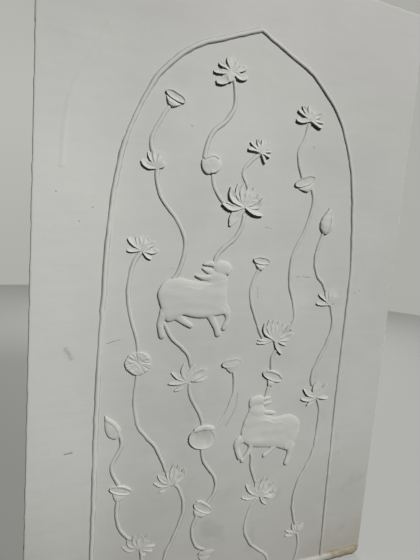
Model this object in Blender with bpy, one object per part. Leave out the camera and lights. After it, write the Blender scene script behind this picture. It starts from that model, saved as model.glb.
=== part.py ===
"""Clay relief mural: a flat clay panel with a pointed arch, lotus stems and two cows modelled on it."""
import math

import bmesh
import bpy
from mathutils import Vector

# Panel, in metres: x runs across, z up, the back lies on y = 0 and the relief stands out towards -y
PANEL_WIDTH = 1.22
PANEL_HEIGHT = 2.00
PANEL_THICKNESS = 0.020
WORN_CORNER = 0.022
BED = 0.004

# The raised line of the arch, which leaves an even margin at both sides and above
ARCH_MARGIN = 0.185
SHOULDER_DROP = 0.740
LINE_WIDTH = 0.013
LINE_HEIGHT = 0.0055
EDGE_GAP = 0.001

# Lip of clay along the bottom edge
LIP_WIDTH = 0.028
LIP_HEIGHT = 0.006

# Stems
STEM_WIDTH = 0.012
STEM_HEIGHT = 0.0048
CURVE_TOLERANCE = 0.0010

# Lotuses: how far a full petal reaches, how it is scooped and lifted, and where it widens
LOTUS_REACH = 0.070
PETAL_LIFT = 0.012
PETAL_CUP = 0.0025
PETAL_SPREAD = 20
PETAL_RIM = ((0.56, 0.56, 0.42), (0.82, 0.56, 0.78))
SCOOP_SHARE = 0.64
KEEL_SHARE = 0.42
NOTCH_SHARE = 0.38
WIDE_GAP = 56
HEART_RADIUS = 0.014
HEART_HEIGHT = 0.0075

# Seed pods
POD_MOUTH = 0.073
POD_OPENNESS = 0.42
POD_CUP = 0.034
POD_HEIGHT = 0.0075
POD_SIDES = 10

# Buds and round leaves
BUD_LENGTH = 0.085
BUD_WIDTH = 0.048
BUD_HEIGHT = 0.0115
LEAF_RADIUS = 0.034
LEAF_HEIGHT = 0.0065

# Cows
COW_LENGTH = 0.225
COW_HEIGHT = 0.0078
LEG_HEIGHT = 0.0064
EAR_HEIGHT = 0.0058
LIMB_TOLERANCE = 0.0015

# The arch's right shoulder: percent of its half width out, percent of its drop below the apex
SHOULDER = ((0, 0), (25, 7), (44, 12), (64, 22), (75, 31), (88, 50), (96, 76), (100, 100))

# Places are percent of the arch's width from its middle, and percent of its height from the bottom edge
# Each lotus: the place of its heart, then its petals as (direction in degrees, percent of the full reach)
LOTUSES = {
    "crown": ((-9.9, 92.8), ((222, 104), (196, 93), (165, 75), (122, 62), (90, 58), (59, 58), (22, 66), (340, 74))),
    "left_half_open": ((-34.0, 76.7), ((166, 80), (129, 72), (98, 64), (66, 66), (30, 48))),
    "small": ((3.3, 81.2), ((185, 72), (149, 68), (118, 63), (78, 56), (7, 46), (322, 50), (281, 60))),
    "right_top": ((22.4, 87.9), ((196, 87), (164, 82), (138, 73), (97, 60), (34, 60), (356, 66), (318, 70))),
    "heart": ((-1.4, 72.1), ((233, 117), (180, 113), (139, 111), (115, 101), (91, 90), (67, 96), (28, 99), (342, 93))),
    "left_middle": ((-37.4, 63.9), ((182, 64), (144, 76), (111, 66), (75, 64), (30, 64), (2, 68), (311, 60))),
    "right_half_open": ((40.5, 55.5), ((178, 97), (151, 97), (116, 87), (84, 73), (45, 54))),
    "middle": ((16.3, 48.9), ((188, 101), (133, 111), (112, 111), (82, 97), (50, 99), (16, 101), (322, 60), (292, 80))),
    "below_first_cow": ((-17.7, 42.1), ((209, 74), (180, 97), (151, 101), (106, 100), (62, 92), (34, 90), (13, 84))),
    "right_lower": ((38.7, 37.1), ((206, 71), (178, 104), (152, 108), (103, 97), (63, 83), (21, 60), (354, 60))),
    "left_lower": ((-21.5, 23.5), ((195, 63), (161, 91), (139, 100), (102, 101), (80, 108), (48, 86))),
    "middle_lower": ((16.7, 18.3), ((171, 115), (142, 128), (97, 97), (74, 103), (39, 101), (350, 77), (304, 50))),
    "left_bottom": ((-31.9, 12.3), ((150, 93), (132, 97), (110, 91), (86, 80), (62, 70), (22, 67), (318, 46))),
    "right_bottom": ((35.9, 8.6), ((168, 80), (146, 88), (120, 84), (90, 84), (56, 56))),
}

# Each seed pod: the place of its mouth, the mouth's tilt in degrees, percent of the full size
PODS = {
    "top_left": ((-28.8, 87.5), -19, 88),
    "right": ((23.0, 77.5), 24, 113),
    "centre": ((7.9, 63.1), -4, 84),
    "above_second_cow": ((17.1, 41.9), -21, 118),
    "between_cows": ((-1.0, 44.8), 7, 100),
    "left": ((-40.0, 24.0), -8, 98),
    "lower": ((-8.4, 18.1), -28, 98),
    "bottom": ((-5.6, 9.2), 8, 96),
}

# Each closed bud: the place of its middle, its direction in degrees, percent of the full height
BUDS = {"left": ((-43.8, 35.1), 115, 60), "right": ((34.4, 70.9), 80, 100)}

# Stems, from flower to flower, and those that run on to the bottom edge
STEMS = {
    "crown_to_leaf": ((-9.7, 92.6), (-7.8, 89.4), (-11.1, 85.4), (-16.6, 81.7), (-17.8, 78.9)),
    "leaf_to_heart": ((-14.9, 77.5), (-13.2, 74.5), (-8.9, 72.2), (-2.5, 72.1)),
    "small_to_heart": ((3.2, 80.9), (-0.4, 79.1), (-2.7, 77.4), (-0.5, 75.1), (-1.2, 72.5)),
    "heart_to_cow": ((-1.1, 71.9), (-1.6, 69.0), (-4.1, 66.4), (-10.0, 63.9), (-11.5, 61.5)),
    "pod_to_left_lotus": ((-29.6, 87.0), (-34.4, 83.1), (-36.4, 80.3), (-34.3, 77.2)),
    "left_lotus_to_cow": ((-33.9, 76.7), (-33.7, 74.6), (-31.4, 71.9), (-26.1, 69.0), (-22.6, 65.3),
                          (-24.1, 60.9), (-27.6, 58.0)),
    "left_lotus_to_rosette": ((-37.3, 63.8), (-40.2, 61.4), (-41.4, 57.1), (-39.7, 52.8), (-37.3, 49.1),
                              (-36.9, 46.0)),
    "rosette_to_left_lower": ((-36.9, 45.0), (-37.4, 38.9), (-35.3, 34.9), (-28.7, 30.7), (-25.2, 27.6),
                              (-22.4, 23.9)),
    "left_lower_to_edge": ((-21.4, 23.7), (-17.7, 21.6), (-16.6, 17.7), (-20.6, 13.0), (-23.7, 9.4),
                           (-24.0, 0.2)),
    "cow_to_lotus": ((-27.5, 52.4), (-25.2, 49.7), (-19.3, 47.1), (-17.2, 42.7)),
    "lotus_to_dish": ((-17.5, 41.6), (-16.5, 39.3), (-12.7, 36.0), (-11.0, 31.7)),
    "dish_to_lower_pod": ((-11.1, 30.7), (-8.3, 26.0), (-4.1, 23.1), (-4.2, 20.4), (-7.4, 18.4)),
    "lower_pod_to_bottom_pod": ((-9.5, 17.9), (-12.2, 13.7), (-10.3, 10.5), (-6.4, 9.2)),
    "bottom_pod_to_edge": ((-5.6, 9.0), (-6.4, 4.6), (-7.0, 0.2)),
    "pod_to_dish": ((-0.8, 44.6), (0.4, 39.1), (-3.0, 34.9), (-8.4, 31.6)),
    "right_top_to_pod": ((22.6, 87.7), (18.8, 82.3), (19.7, 80.0), (22.4, 77.2)),
    "pod_to_middle": ((24.6, 76.8), (27.8, 74.1), (25.1, 69.4), (20.4, 63.0), (20.8, 59.0), (24.3, 53.7),
                      (23.0, 50.4)),
    "centre_pod_to_middle": ((7.9, 62.8), (4.2, 58.2), (5.0, 55.4), (11.2, 48.9), (15.8, 48.7)),
    "middle_to_pod": ((16.2, 48.7), (17.5, 47.0), (15.9, 45.1), (16.8, 41.7)),
    "pod_to_second_cow": ((16.8, 41.7), (14.8, 37.4)),
    "right_bud_to_lotus": ((34.0, 69.4), (31.2, 64.4), (32.8, 61.0), (36.4, 59.0), (40.2, 55.8)),
    "right_lotus_to_lower": ((40.9, 55.4), (42.9, 51.4), (37.5, 44.7), (35.4, 41.0), (38.4, 37.3)),
    "right_lower_to_bottom": ((39.1, 37.0), (41.3, 33.6), (39.9, 26.2), (33.2, 19.2), (32.6, 14.8),
                              (35.8, 8.9)),
    "right_bottom_to_edge": ((36.3, 8.6), (37.8, 6.3), (37.9, 4.0)),
    "cow_to_middle_lower": ((11.9, 29.0), (11.8, 25.0), (16.4, 18.6)),
    "middle_lower_to_edge": ((16.1, 18.1), (12.4, 15.8), (10.5, 11.8), (17.0, 7.2), (22.4, 4.5), (24.0, 0.2)),
    "left_bud_to_pod": ((-42.6, 34.0), (-40.9, 31.5), (-44.0, 28.2), (-40.2, 23.9)),
    "pod_to_left_bottom": ((-40.6, 23.6), (-41.3, 19.7), (-38.5, 15.9), (-32.3, 12.4)),
    "left_bottom_to_edge": ((-31.9, 12.3), (-30.6, 6.5), (-31.4, 0.2)),
}

# Cow outlines and limbs, as percent of the cow's length from its middle
# Each limb: its points, its widths at even steps, and the height it stands out
FIRST_COW = {
    "place": (-18.1, 56.2),
    "torso": ((-49, 3), (-45, 18), (-33, 24), (-21, 27), (-7, 23), (8, 23), (22, 25), (36, 32), (47, 24), (49, 12),
              (52, -7), (49, -22), (39, -20), (29, -25), (15, -25), (0, -25), (-14, -21), (-24, -27), (-36, -30),
              (-44, -12)),
    "limbs": (
        (((32, 8), (33, 26), (34, 40)), (34, 25, 20), COW_HEIGHT),
        (((22, 41), (37, 42), (53, 41)), (15, 20, 19, 12), COW_HEIGHT),
        (((24, 46), (9, 49)), (7, 5, 2), EAR_HEIGHT),
        (((24, 38), (8, 42)), (6, 8, 2), EAR_HEIGHT),
        (((26, 29), (-1, 33)), (5, 9, 7, 2), EAR_HEIGHT),
        (((-34, -8), (-40, -29), (-38, -43), (-36, -57)), (20, 11, 9, 9), LEG_HEIGHT),
        (((-26, -14), (-12, -27), (3, -41)), (18, 10, 7), LEG_HEIGHT),
        (((24, -14), (34, -33), (43, -53)), (18, 10, 9), LEG_HEIGHT),
        (((41, -8), (53, -25), (47, -47)), (18, 9, 8), LEG_HEIGHT),
    ),
}
SECOND_COW = {
    "place": (18.9, 31.0),
    "torso": ((-50, 1), (-49, 17), (-43, 29), (-36, 38), (-19, 34), (-4, 24), (8, 23), (20, 26), (32, 27), (43, 23),
              (51, 13), (53, 2), (50, -11), (43, -23), (42, -36), (32, -36), (21, -32), (8, -27), (-8, -24),
              (-25, -22), (-39, -17), (-49, -8)),
    "limbs": (
        (((-26, 16), (-29, 34), (-30, 46)), (34, 26, 20), COW_HEIGHT),
        (((-16, 49), (-32, 51), (-46, 48)), (14, 19, 17, 13), COW_HEIGHT),
        (((-20, 52), (-5, 56)), (6, 5, 2), EAR_HEIGHT),
        (((-18, 44), (-2, 47)), (6, 7, 2), EAR_HEIGHT),
        (((-18, 33), (8, 31)), (6, 10, 8, 2), EAR_HEIGHT),
        (((-44, 0), (-58, -11), (-47, -41)), (14, 7, 7), LEG_HEIGHT),
        (((-33, -5), (-37, -24), (-45, -42)), (12, 6, 7), LEG_HEIGHT),
        (((12, -20), (0, -30), (-9, -37)), (13, 9, 8), LEG_HEIGHT),
        (((36, -20), (36, -40), (31, -55)), (18, 9, 8), LEG_HEIGHT),
    ),
}

# Round leaf and rosette, and the wide shallow dish where three stems meet
FOLDED_LEAF = (-15.0, 78.4)
FOLD_LINE = ((-0.78, 0.22), (-0.30, 0.54), (0.30, 0.52), (0.84, 0.10))
ROSETTE = (-36.7, 45.5)
ROSETTE_SIZE = 1.12
ROSETTE_LOBES = 8
ROSETTE_CREASE = 0.76
DISH = ((-10.2, 31.8), -7, 139)
DISH_OPENNESS = 0.76

ARCH_HALF = PANEL_WIDTH / 2 - ARCH_MARGIN
ARCH_HEIGHT = PANEL_HEIGHT - ARCH_MARGIN
BOTTOM = -PANEL_HEIGHT / 2

CLAY_COLOUR = (0.50, 0.49, 0.46, 1.0)
CLAY_ROUGHNESS = 0.92


def clear_scene():
    """Remove every object, so that the file runs the same from any start."""
    for item in list(bpy.data.objects):
        bpy.data.objects.remove(item, do_unlink=True)


def clay_material():
    """Matt whitewashed clay."""
    material = bpy.data.materials.new("whitewashed_clay")
    material.use_nodes = True
    shader = material.node_tree.nodes["Principled BSDF"]
    shader.inputs["Base Color"].default_value = CLAY_COLOUR
    shader.inputs["Roughness"].default_value = CLAY_ROUGHNESS
    shader.inputs["Metallic"].default_value = 0.0
    return material


def on_arch(across, up):
    """A place given as percent of the arch's width and height, as a flat (x, z) in metres."""
    return Vector((across / 100 * 2 * ARCH_HALF, BOTTOM + up / 100 * ARCH_HEIGHT))


def raised(flat, out):
    """A flat place lifted out of the ground by `out` metres, as a point in space."""
    return Vector((flat.x, -(PANEL_THICKNESS + out), flat.y))


def heading(degrees):
    """Unit vector in the panel's plane."""
    return Vector((math.cos(math.radians(degrees)), math.sin(math.radians(degrees))))


def across_of(direction):
    """The direction a quarter turn to the left."""
    return Vector((-direction.y, direction.x))


def blend(values, share):
    """Read a short list of values as a line graph, with share running from 0 to 1."""
    spot = share * (len(values) - 1)
    low = min(int(spot), len(values) - 2)
    return values[low] + (values[low + 1] - values[low]) * (spot - low)


def shares_along(path):
    """How far along the path each of its points lies, from 0 to 1."""
    runs = [0.0]
    for start, end in zip(path, path[1:]):
        runs.append(runs[-1] + (end - start).length)
    return [run / runs[-1] for run in runs]


def smooth_path(knots, closed=False, steps=8):
    """A Catmull-Rom curve through the knots."""
    count = len(knots)
    points = []
    for index in range(count if closed else count - 1):
        if closed:
            before, start, end, after = (knots[(index + shift) % count] for shift in (-1, 0, 1, 2))
        else:
            start, end = knots[index], knots[index + 1]
            before = knots[index - 1] if index else start * 2 - end
            after = knots[index + 2] if index + 2 < count else end * 2 - start
        for step in range(steps):
            t = step / steps
            bend = (start * 2 + (end - before) * t + (before * 2 - start * 5 + end * 4 - after) * t ** 2
                    + (start * 3 - before - end * 3 + after) * t ** 3)
            points.append(bend / 2)
    if not closed:
        points.append(knots[-1].copy())
    return points


def thinned(points, tolerance):
    """Leave out the points that lie within the tolerance of a straight run."""
    if len(points) < 3:
        return points
    chord = points[-1] - points[0]
    side = across_of(chord.normalized())
    offsets = [abs((point - points[0]).dot(side)) for point in points]
    worst = max(range(len(points)), key=offsets.__getitem__)
    if offsets[worst] <= tolerance:
        return [points[0], points[-1]]
    return thinned(points[:worst + 1], tolerance)[:-1] + thinned(points[worst:], tolerance)


def solid(name, mesh):
    """Turn a finished bmesh into an object with its faces looking outwards."""
    bmesh.ops.recalc_face_normals(mesh, faces=mesh.faces[:])
    data = bpy.data.meshes.new(name)
    mesh.to_mesh(data)
    mesh.free()
    return bpy.data.objects.new(name, data)


def loft(name, rings, tip=None):
    """A closed solid through rings of points, with flat ends or a pointed one."""
    mesh = bmesh.new()
    loops = [[mesh.verts.new(point) for point in ring] for ring in rings]
    for low, high in zip(loops, loops[1:]):
        for index in range(len(low)):
            after = (index + 1) % len(low)
            mesh.faces.new((low[index], low[after], high[after]))
            mesh.faces.new((low[index], high[after], high[index]))
    mesh.faces.new(loops[0][::-1])
    if tip is None:
        mesh.faces.new(loops[-1])
    else:
        point = mesh.verts.new(tip)
        last = loops[-1]
        for index in range(len(last)):
            mesh.faces.new((last[index], last[(index + 1) % len(last)], point))
    return solid(name, mesh)


def ridge(name, path, widths, height, shoulder=0.56):
    """A low rib of clay along a path, bedded in the ground, with a flattened crown."""
    rings = []
    for index, (point, share) in enumerate(zip(path, shares_along(path))):
        ahead = path[min(index + 1, len(path) - 1)] - path[max(index - 1, 0)]
        side = across_of(ahead.normalized()) * blend(widths, share) / 2
        rings.append([raised(point - side, -BED), raised(point - side, 0.0),
                      raised(point - side * shoulder, height), raised(point + side * shoulder, height),
                      raised(point + side, 0.0), raised(point + side, -BED)])
    return loft(name, rings)


def mound(name, centre, spokes, profile, crests=(1.0,)):
    """A form in rings round a centre: spokes reach its edge, the profile is (share of the reach, height)."""
    rings = [[raised(centre + spoke * profile[0][0], -BED) for spoke in spokes]]
    for share, out in profile:
        rings.append([raised(centre + spoke * share, out * crests[index % len(crests)])
                      for index, spoke in enumerate(spokes)])
    return loft(name, rings)


def oval(half_long, half_short, tilt, sides):
    """Spokes of an ellipse."""
    long_way = heading(tilt) * half_long
    short_way = across_of(heading(tilt)) * half_short
    turns = [2 * math.pi * index / sides for index in range(sides)]
    return [long_way * math.cos(turn) + short_way * math.sin(turn) for turn in turns]


def ground_panel():
    """The slab, with its lower right corner worn round."""
    right, top = PANEL_WIDTH / 2, PANEL_HEIGHT / 2
    outline = [Vector((-right, top)), Vector((-right, -top))]
    centre = Vector((right - WORN_CORNER, -top + WORN_CORNER))
    outline += [centre + heading(turn) * WORN_CORNER for turn in (270, 300, 330, 360)]
    outline.append(Vector((right, top)))
    back = [Vector((point.x, 0.0, point.y)) for point in outline]
    front = [raised(point, 0.0) for point in outline]
    return loft("relief_panel", [back, front])


def arch_line():
    """The raised line: up the left side, over the apex and down the right side."""
    top = BOTTOM + ARCH_HEIGHT
    right = [Vector((out / 100 * ARCH_HALF, top - drop / 100 * SHOULDER_DROP)) for out, drop in SHOULDER]
    right = thinned(smooth_path(right), CURVE_TOLERANCE) + [Vector((ARCH_HALF, BOTTOM + EDGE_GAP))]
    left = [Vector((-point.x, point.y)) for point in reversed(right[1:])]
    return ridge("arch_line", left + right, (LINE_WIDTH, LINE_WIDTH), LINE_HEIGHT)


def bottom_lip():
    """The clay that stands proud along the bottom edge."""
    end = PANEL_WIDTH / 2 - WORN_CORNER
    level = BOTTOM + LIP_WIDTH / 2 + EDGE_GAP
    return ridge("bottom_lip", [Vector((-end, level)), Vector((end, level))], (LIP_WIDTH, LIP_WIDTH), LIP_HEIGHT)


def stem(name, places):
    """A rope-like stem through its places."""
    path = thinned(smooth_path([on_arch(*place) for place in places]), CURVE_TOLERANCE)
    return ridge("stem_" + name, path, (STEM_WIDTH, STEM_WIDTH), STEM_HEIGHT)


def notches(petals):
    """The hollows between petals as (direction, radius): one between close petals, more across a wide gap."""
    gaps = []
    for index, (turn, share) in enumerate(petals):
        next_turn, next_share = petals[(index + 1) % len(petals)]
        gap = (turn - next_turn) % 360
        if gap <= WIDE_GAP:
            radius = LOTUS_REACH * min(share, next_share) / 100 * NOTCH_SHARE
            gaps.append([(turn - gap / 2, radius)])
        else:
            steps = max(1, round((gap - WIDE_GAP) / 75))
            first, last = turn - WIDE_GAP / 2, turn - gap + WIDE_GAP / 2
            gaps.append([(first + (last - first) * step / steps, HEART_RADIUS) for step in range(steps + 1)])
    return gaps


def lotus(name, place, petals):
    """Pointed scoops round a heart: low at the root, undercut, and lifted at the tip."""
    heart = on_arch(*place)
    mesh = bmesh.new()
    middle = mesh.verts.new(raised(heart, HEART_HEIGHT))
    below = mesh.verts.new(raised(heart, -BED))
    hollows = []
    for turns in notches(petals):
        columns = []
        for turn, radius in turns:
            spot = heart + heading(turn) * radius
            columns.append([mesh.verts.new(raised(spot, out)) for out in (HEART_HEIGHT * 0.9, 0.0, -BED)])
        hollows.append(columns)
        for (rim, foot, deep), (next_rim, next_foot, next_deep) in zip(columns, columns[1:]):
            for corners in ((middle, rim, next_rim), (rim, foot, next_foot), (rim, next_foot, next_rim),
                            (foot, deep, next_deep), (foot, next_deep, next_foot), (below, deep, next_deep)):
                mesh.faces.new(corners)
    for index, (turn, share) in enumerate(petals):
        forward = heading(turn)
        reach = LOTUS_REACH * share / 100
        keel_reach = max(reach * KEEL_SHARE, HEART_RADIUS)
        lift = PETAL_LIFT * (1.0 if index % 2 else 0.84)
        rims = []
        for hand, other in ((1, index - 1), (-1, (index + 1) % len(petals))):
            spread = min(abs((turn - petals[other][0] + 180) % 360 - 180) / 2, PETAL_SPREAD)
            breadth = across_of(forward) * hand * reach * math.tan(math.radians(spread * 0.95))
            rims.append([mesh.verts.new(raised(heart + forward * reach * share_out + breadth * width,
                                               lift * rise + PETAL_CUP))
                         for share_out, width, rise in PETAL_RIM])
        scoop = mesh.verts.new(raised(heart + forward * reach * SCOOP_SHARE, lift * 0.56))
        tip = mesh.verts.new(raised(heart + forward * reach, lift + PETAL_CUP * 0.5))
        keel = mesh.verts.new(raised(heart + forward * keel_reach, 0.0))
        deep = mesh.verts.new(raised(heart + forward * keel_reach, -BED))
        for (rim, foot, sunk), edge in ((hollows[index - 1][-1], rims[0]), (hollows[index][0], rims[1])):
            border = [rim] + edge + [tip]
            for near, far in zip(border, border[1:]):
                mesh.faces.new((near, far, scoop))
                mesh.faces.new((near, keel, far))
            for corners in ((middle, rim, scoop), (rim, foot, keel), (foot, sunk, deep), (foot, deep, keel),
                            (below, sunk, deep)):
                mesh.faces.new(corners)
    return solid(name, mesh)


def bowl(name, centre, tilt, mouth, openness):
    """An oval mouth with a raised rim round a sunk face."""
    spokes = oval(mouth / 2, mouth / 2 * openness, tilt, POD_SIDES)
    profile = ((0.94, 0.0), (1.0, POD_HEIGHT * 0.6), (0.90, POD_HEIGHT), (0.70, POD_HEIGHT * 0.7))
    return mound(name, centre, spokes, profile)


def pod(name, place, tilt, share):
    """A seed pod: the mouth, and the cup that narrows to the stem below it."""
    centre = on_arch(*place)
    size = share / 100
    foot = centre - across_of(heading(tilt)) * POD_CUP * size
    cup = ridge(name + "_cup", [centre, foot], [POD_MOUTH * size * part for part in (0.80, 0.30)],
                POD_HEIGHT * 0.66, shoulder=0.6)
    return [bowl(name + "_mouth", centre, tilt, POD_MOUTH * size, POD_OPENNESS), cup]


def bud(name, place, turn, share):
    """A closed bud: full below, drawn out to a point."""
    forward = heading(turn)
    middle = on_arch(*place)
    start, end = middle - forward * BUD_LENGTH / 2, middle + forward * BUD_LENGTH / 2
    rings = []
    for along, spread, rise in ((0.0, 0.42, 0.6), (0.12, 0.82, 0.9), (0.34, 1.0, 1.0), (0.62, 0.74, 0.85),
                                (0.86, 0.30, 0.6)):
        centre = start.lerp(end, along)
        side = across_of(forward) * BUD_WIDTH / 2 * spread
        height = BUD_HEIGHT * share / 100 * rise
        rings.append([raised(centre - side, -BED), raised(centre - side, 0.0),
                      raised(centre - side * 0.7, height * 0.75), raised(centre - side * 0.2, height),
                      raised(centre + side * 0.6, height * 0.8), raised(centre + side, 0.0),
                      raised(centre + side, -BED)])
    return loft(name, rings, tip=raised(end, 0.0))


def folded_leaf():
    """A round leaf with its upper half folded over as a cap."""
    centre = on_arch(*FOLDED_LEAF)
    disc = mound("folded_leaf", centre, oval(LEAF_RADIUS, LEAF_RADIUS * 0.92, 0, 12),
                 ((0.94, 0.0), (1.0, LEAF_HEIGHT * 0.6), (0.8, LEAF_HEIGHT)))
    arc = smooth_path([centre + Vector(point) * LEAF_RADIUS for point in FOLD_LINE], steps=2)
    fold = ridge("leaf_fold", arc, [LEAF_RADIUS * part for part in (0.30, 0.60, 0.60, 0.24)], LEAF_HEIGHT * 1.3)
    return [disc, fold]


def rosette():
    """A round leaf with radial lobes round a small dimple."""
    spokes = []
    radius = LEAF_RADIUS * ROSETTE_SIZE
    for index, spoke in enumerate(oval(radius, radius * 0.86, -8, ROSETTE_LOBES * 2)):
        spokes.append(spoke * (1.0 if index % 2 else 0.93))
    profile = ((0.96, 0.0), (1.0, LEAF_HEIGHT * 0.7), (0.72, LEAF_HEIGHT), (0.2, LEAF_HEIGHT * 0.76))
    return [mound("rosette", on_arch(*ROSETTE), spokes, profile, crests=(ROSETTE_CREASE, 1.0))]


def cow(name, sheet):
    """A cow: a domed torso, and ribs of clay for its neck, head, ears, horns and legs."""
    centre = on_arch(*sheet["place"])
    scale = COW_LENGTH / 100
    outline = smooth_path([Vector(point) * scale for point in sheet["torso"]], closed=True, steps=2)
    profile = ((1.0, 0.0), (0.985, COW_HEIGHT * 0.65), (0.90, COW_HEIGHT))
    pieces = [mound(name + "_torso", centre, outline, profile)]
    for index, (points, widths, height) in enumerate(sheet["limbs"]):
        path = thinned(smooth_path([centre + Vector(point) * scale for point in points]), LIMB_TOLERANCE)
        pieces.append(ridge(f"{name}_limb_{index}", path, [width * scale for width in widths], height, 0.76))
    return pieces


def relief_forms():
    """Every form that is modelled on the panel."""
    forms = [arch_line(), bottom_lip()]
    forms += [stem(name, places) for name, places in STEMS.items()]
    for name, (place, petals) in LOTUSES.items():
        forms.append(lotus("lotus_" + name, place, petals))
    for name, (place, tilt, share) in PODS.items():
        forms += pod("pod_" + name, place, tilt, share)
    for name, (place, turn, share) in BUDS.items():
        forms.append(bud("bud_" + name, place, turn, share))
    place, tilt, share = DISH
    forms.append(bowl("dish", on_arch(*place), tilt, POD_MOUTH * share / 100, DISH_OPENNESS))
    forms += folded_leaf() + rosette()
    forms += cow("first_cow", FIRST_COW) + cow("second_cow", SECOND_COW)
    return forms


def main():
    """Model the relief as one solid: the panel and all its forms in one union."""
    clear_scene()
    clay = bpy.data.collections.new("relief_forms")
    bpy.context.scene.collection.children.link(clay)
    for form in relief_forms():
        form.hide_render = True
        form.display_type = "WIRE"
        clay.objects.link(form)
    panel = ground_panel()
    bpy.context.scene.collection.objects.link(panel)
    panel.data.materials.append(clay_material())
    union = panel.modifiers.new("modelled_on", "BOOLEAN")
    union.operation = "UNION"
    union.solver = "EXACT"
    union.operand_type = "COLLECTION"
    union.collection = clay


main()
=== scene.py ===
"""Looks of the clay relief mural: hand-modelled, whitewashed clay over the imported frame."""
import math

import bmesh
import bpy
import numpy as np
from mathutils import Matrix, Vector


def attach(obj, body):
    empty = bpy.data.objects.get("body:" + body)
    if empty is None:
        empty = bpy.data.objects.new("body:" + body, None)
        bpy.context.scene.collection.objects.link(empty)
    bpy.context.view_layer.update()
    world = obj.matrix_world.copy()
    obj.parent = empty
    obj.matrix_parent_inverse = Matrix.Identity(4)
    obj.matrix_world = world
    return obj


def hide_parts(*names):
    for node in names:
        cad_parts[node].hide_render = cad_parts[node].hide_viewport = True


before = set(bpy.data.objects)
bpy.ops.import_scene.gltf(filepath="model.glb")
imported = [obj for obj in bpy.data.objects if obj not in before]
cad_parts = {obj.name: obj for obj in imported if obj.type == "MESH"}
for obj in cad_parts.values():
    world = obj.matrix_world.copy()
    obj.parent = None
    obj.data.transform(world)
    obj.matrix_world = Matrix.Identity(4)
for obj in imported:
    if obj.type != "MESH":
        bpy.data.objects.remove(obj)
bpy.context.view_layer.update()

MM_PER_M = 1000

# Sizes of the panel and its relief, in metres
PANEL_WIDTH = 1.22
PANEL_HEIGHT = 2.00
PANEL_THICKNESS = 0.020
WORN_CORNER = 0.022
ARCH_MARGIN = 0.185
SHOULDER_DROP = 0.740
LINE_WIDTH = 0.0125
LINE_HEIGHT = 0.0052
LIP_WIDTH = 0.028
LIP_HEIGHT = 0.006
EDGE_GAP = 0.001
STEM_WIDTH = 0.0115
STEM_HEIGHT = 0.0034
HEART_RADIUS = 0.012
LEAF_HEIGHT = 0.0065
COW_LENGTH = 0.225
COW_HEIGHT = 0.0070
POD_BAND_WIDTHS = (0.006, 0.009, 0.009, 0.006)

# How far the relief may stand out, how deep its forms reach into the slab, how much of that depth is kept,
# and how high the painted shade and dust in the creases reach
DEPTH_LIMIT = 0.0131
SUNK = 0.0035
KEPT_UNDER = 0.0022
CREASE_SHADE_DEPTH = 0.0011

# The slab: the spacing of its grid, how far from its corners its outline is worn, the rounding of its rim,
# and the waves in its face with their depths, lengths and seeds
GROUND_SPACING = 0.0075
CORNER_KEPT = 0.3
RIM_DROP = 0.0035
RIM_REACH = 0.0045
SLAB_WAVES = ((0.0005, 0.36, 5), (0.00022, 0.11, 6), (0.0001, 0.045, 7))
# Layers down the slab's edge: share of the thickness, depth of the wear and bevel
EDGE_LAYERS = ((0.25, 0.0006, 0), (0.6, 0.0006, 0), (0.97, 0, 0), (1.0, 0, 0.0012))

# Where the photograph was taken from, which way it looks, which way is up in it, and its lens
EYE = (-0.555, -(PANEL_THICKNESS + 1.153), 0.227)
LOOK = (0.3604, 0.9250, -0.1201)
UPWARDS = (-0.02684, 0.13683, 0.99023)
LENS = 26.357
SENSOR_WIDTH = 36.0

# The main light, and which way its shadows fall over the ground
KEY_LIGHT = (2.6, -7.4, 5.7)
SHADOW_FALL = np.array((-KEY_LIGHT[0], -KEY_LIGHT[2])) / -KEY_LIGHT[1]
# Each light: its name, its place, what it points at, its width, its power and its colour
LIGHTS = (
    ("key", KEY_LIGHT, (0.0, 0.0, 0.0), 1.9, 1180.0, (1.0, 0.995, 0.975)),
    ("low_fill", (0.2, -1.5, -1.0), (0.0, 0.0, -0.9), 1.0, 1.2, (1.0, 0.97, 0.92)),
    ("back_fill", (2.0, 5.0, 1.8), (0.0, 0.0, 0.0), 3.0, 140.0, (1.0, 1.0, 0.99)),
)
SKY_COLOUR = (0.93, 0.96, 1.0, 1.0)
SKY_STRENGTH = 0.02

# The whitewash, before its other colours are laid over it
CHALK = (0.500, 0.508, 0.492)

# The floor and the surround
STAGE_RADIUS = 7.0
STAGE_HEIGHT = 9.0
STAGE_SIDES = 96
FLOOR_GAP = 0.004
FLOOR_COLOUR = (0.24, 0.24, 0.235)
FLOOR_GLOW = (0.24, 0.24, 0.23)
WALL_GLOW = (0.455, 0.455, 0.430)

ARCH_HALF = PANEL_WIDTH / 2 - ARCH_MARGIN
ARCH_HEIGHT = PANEL_HEIGHT - ARCH_MARGIN
BOTTOM = -PANEL_HEIGHT / 2
# How far the hand-laid arch line strays outwards, in mm, at percents of its height
LEFT_STRAY = ((0, -5), (22, -3), (32, 0), (46, -1), (52, -4), (57, -8), (61, -6), (66, -2), (71, 4),
              (78, 7), (85, 6), (89, 7), (93, 11), (96, 8), (98, 7), (100, 1))
RIGHT_STRAY = ((0, 5), (12, 1), (22, -3), (32, -6), (46, -7), (56, -7), (66, -4), (76, 0), (85, 2), (93, 1),
               (97, 3), (100, 0))
SHOULDER = ((0, 0), (25, 7), (44, 12), (64, 22), (75, 31), (88, 50), (96, 76), (100, 100))

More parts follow.
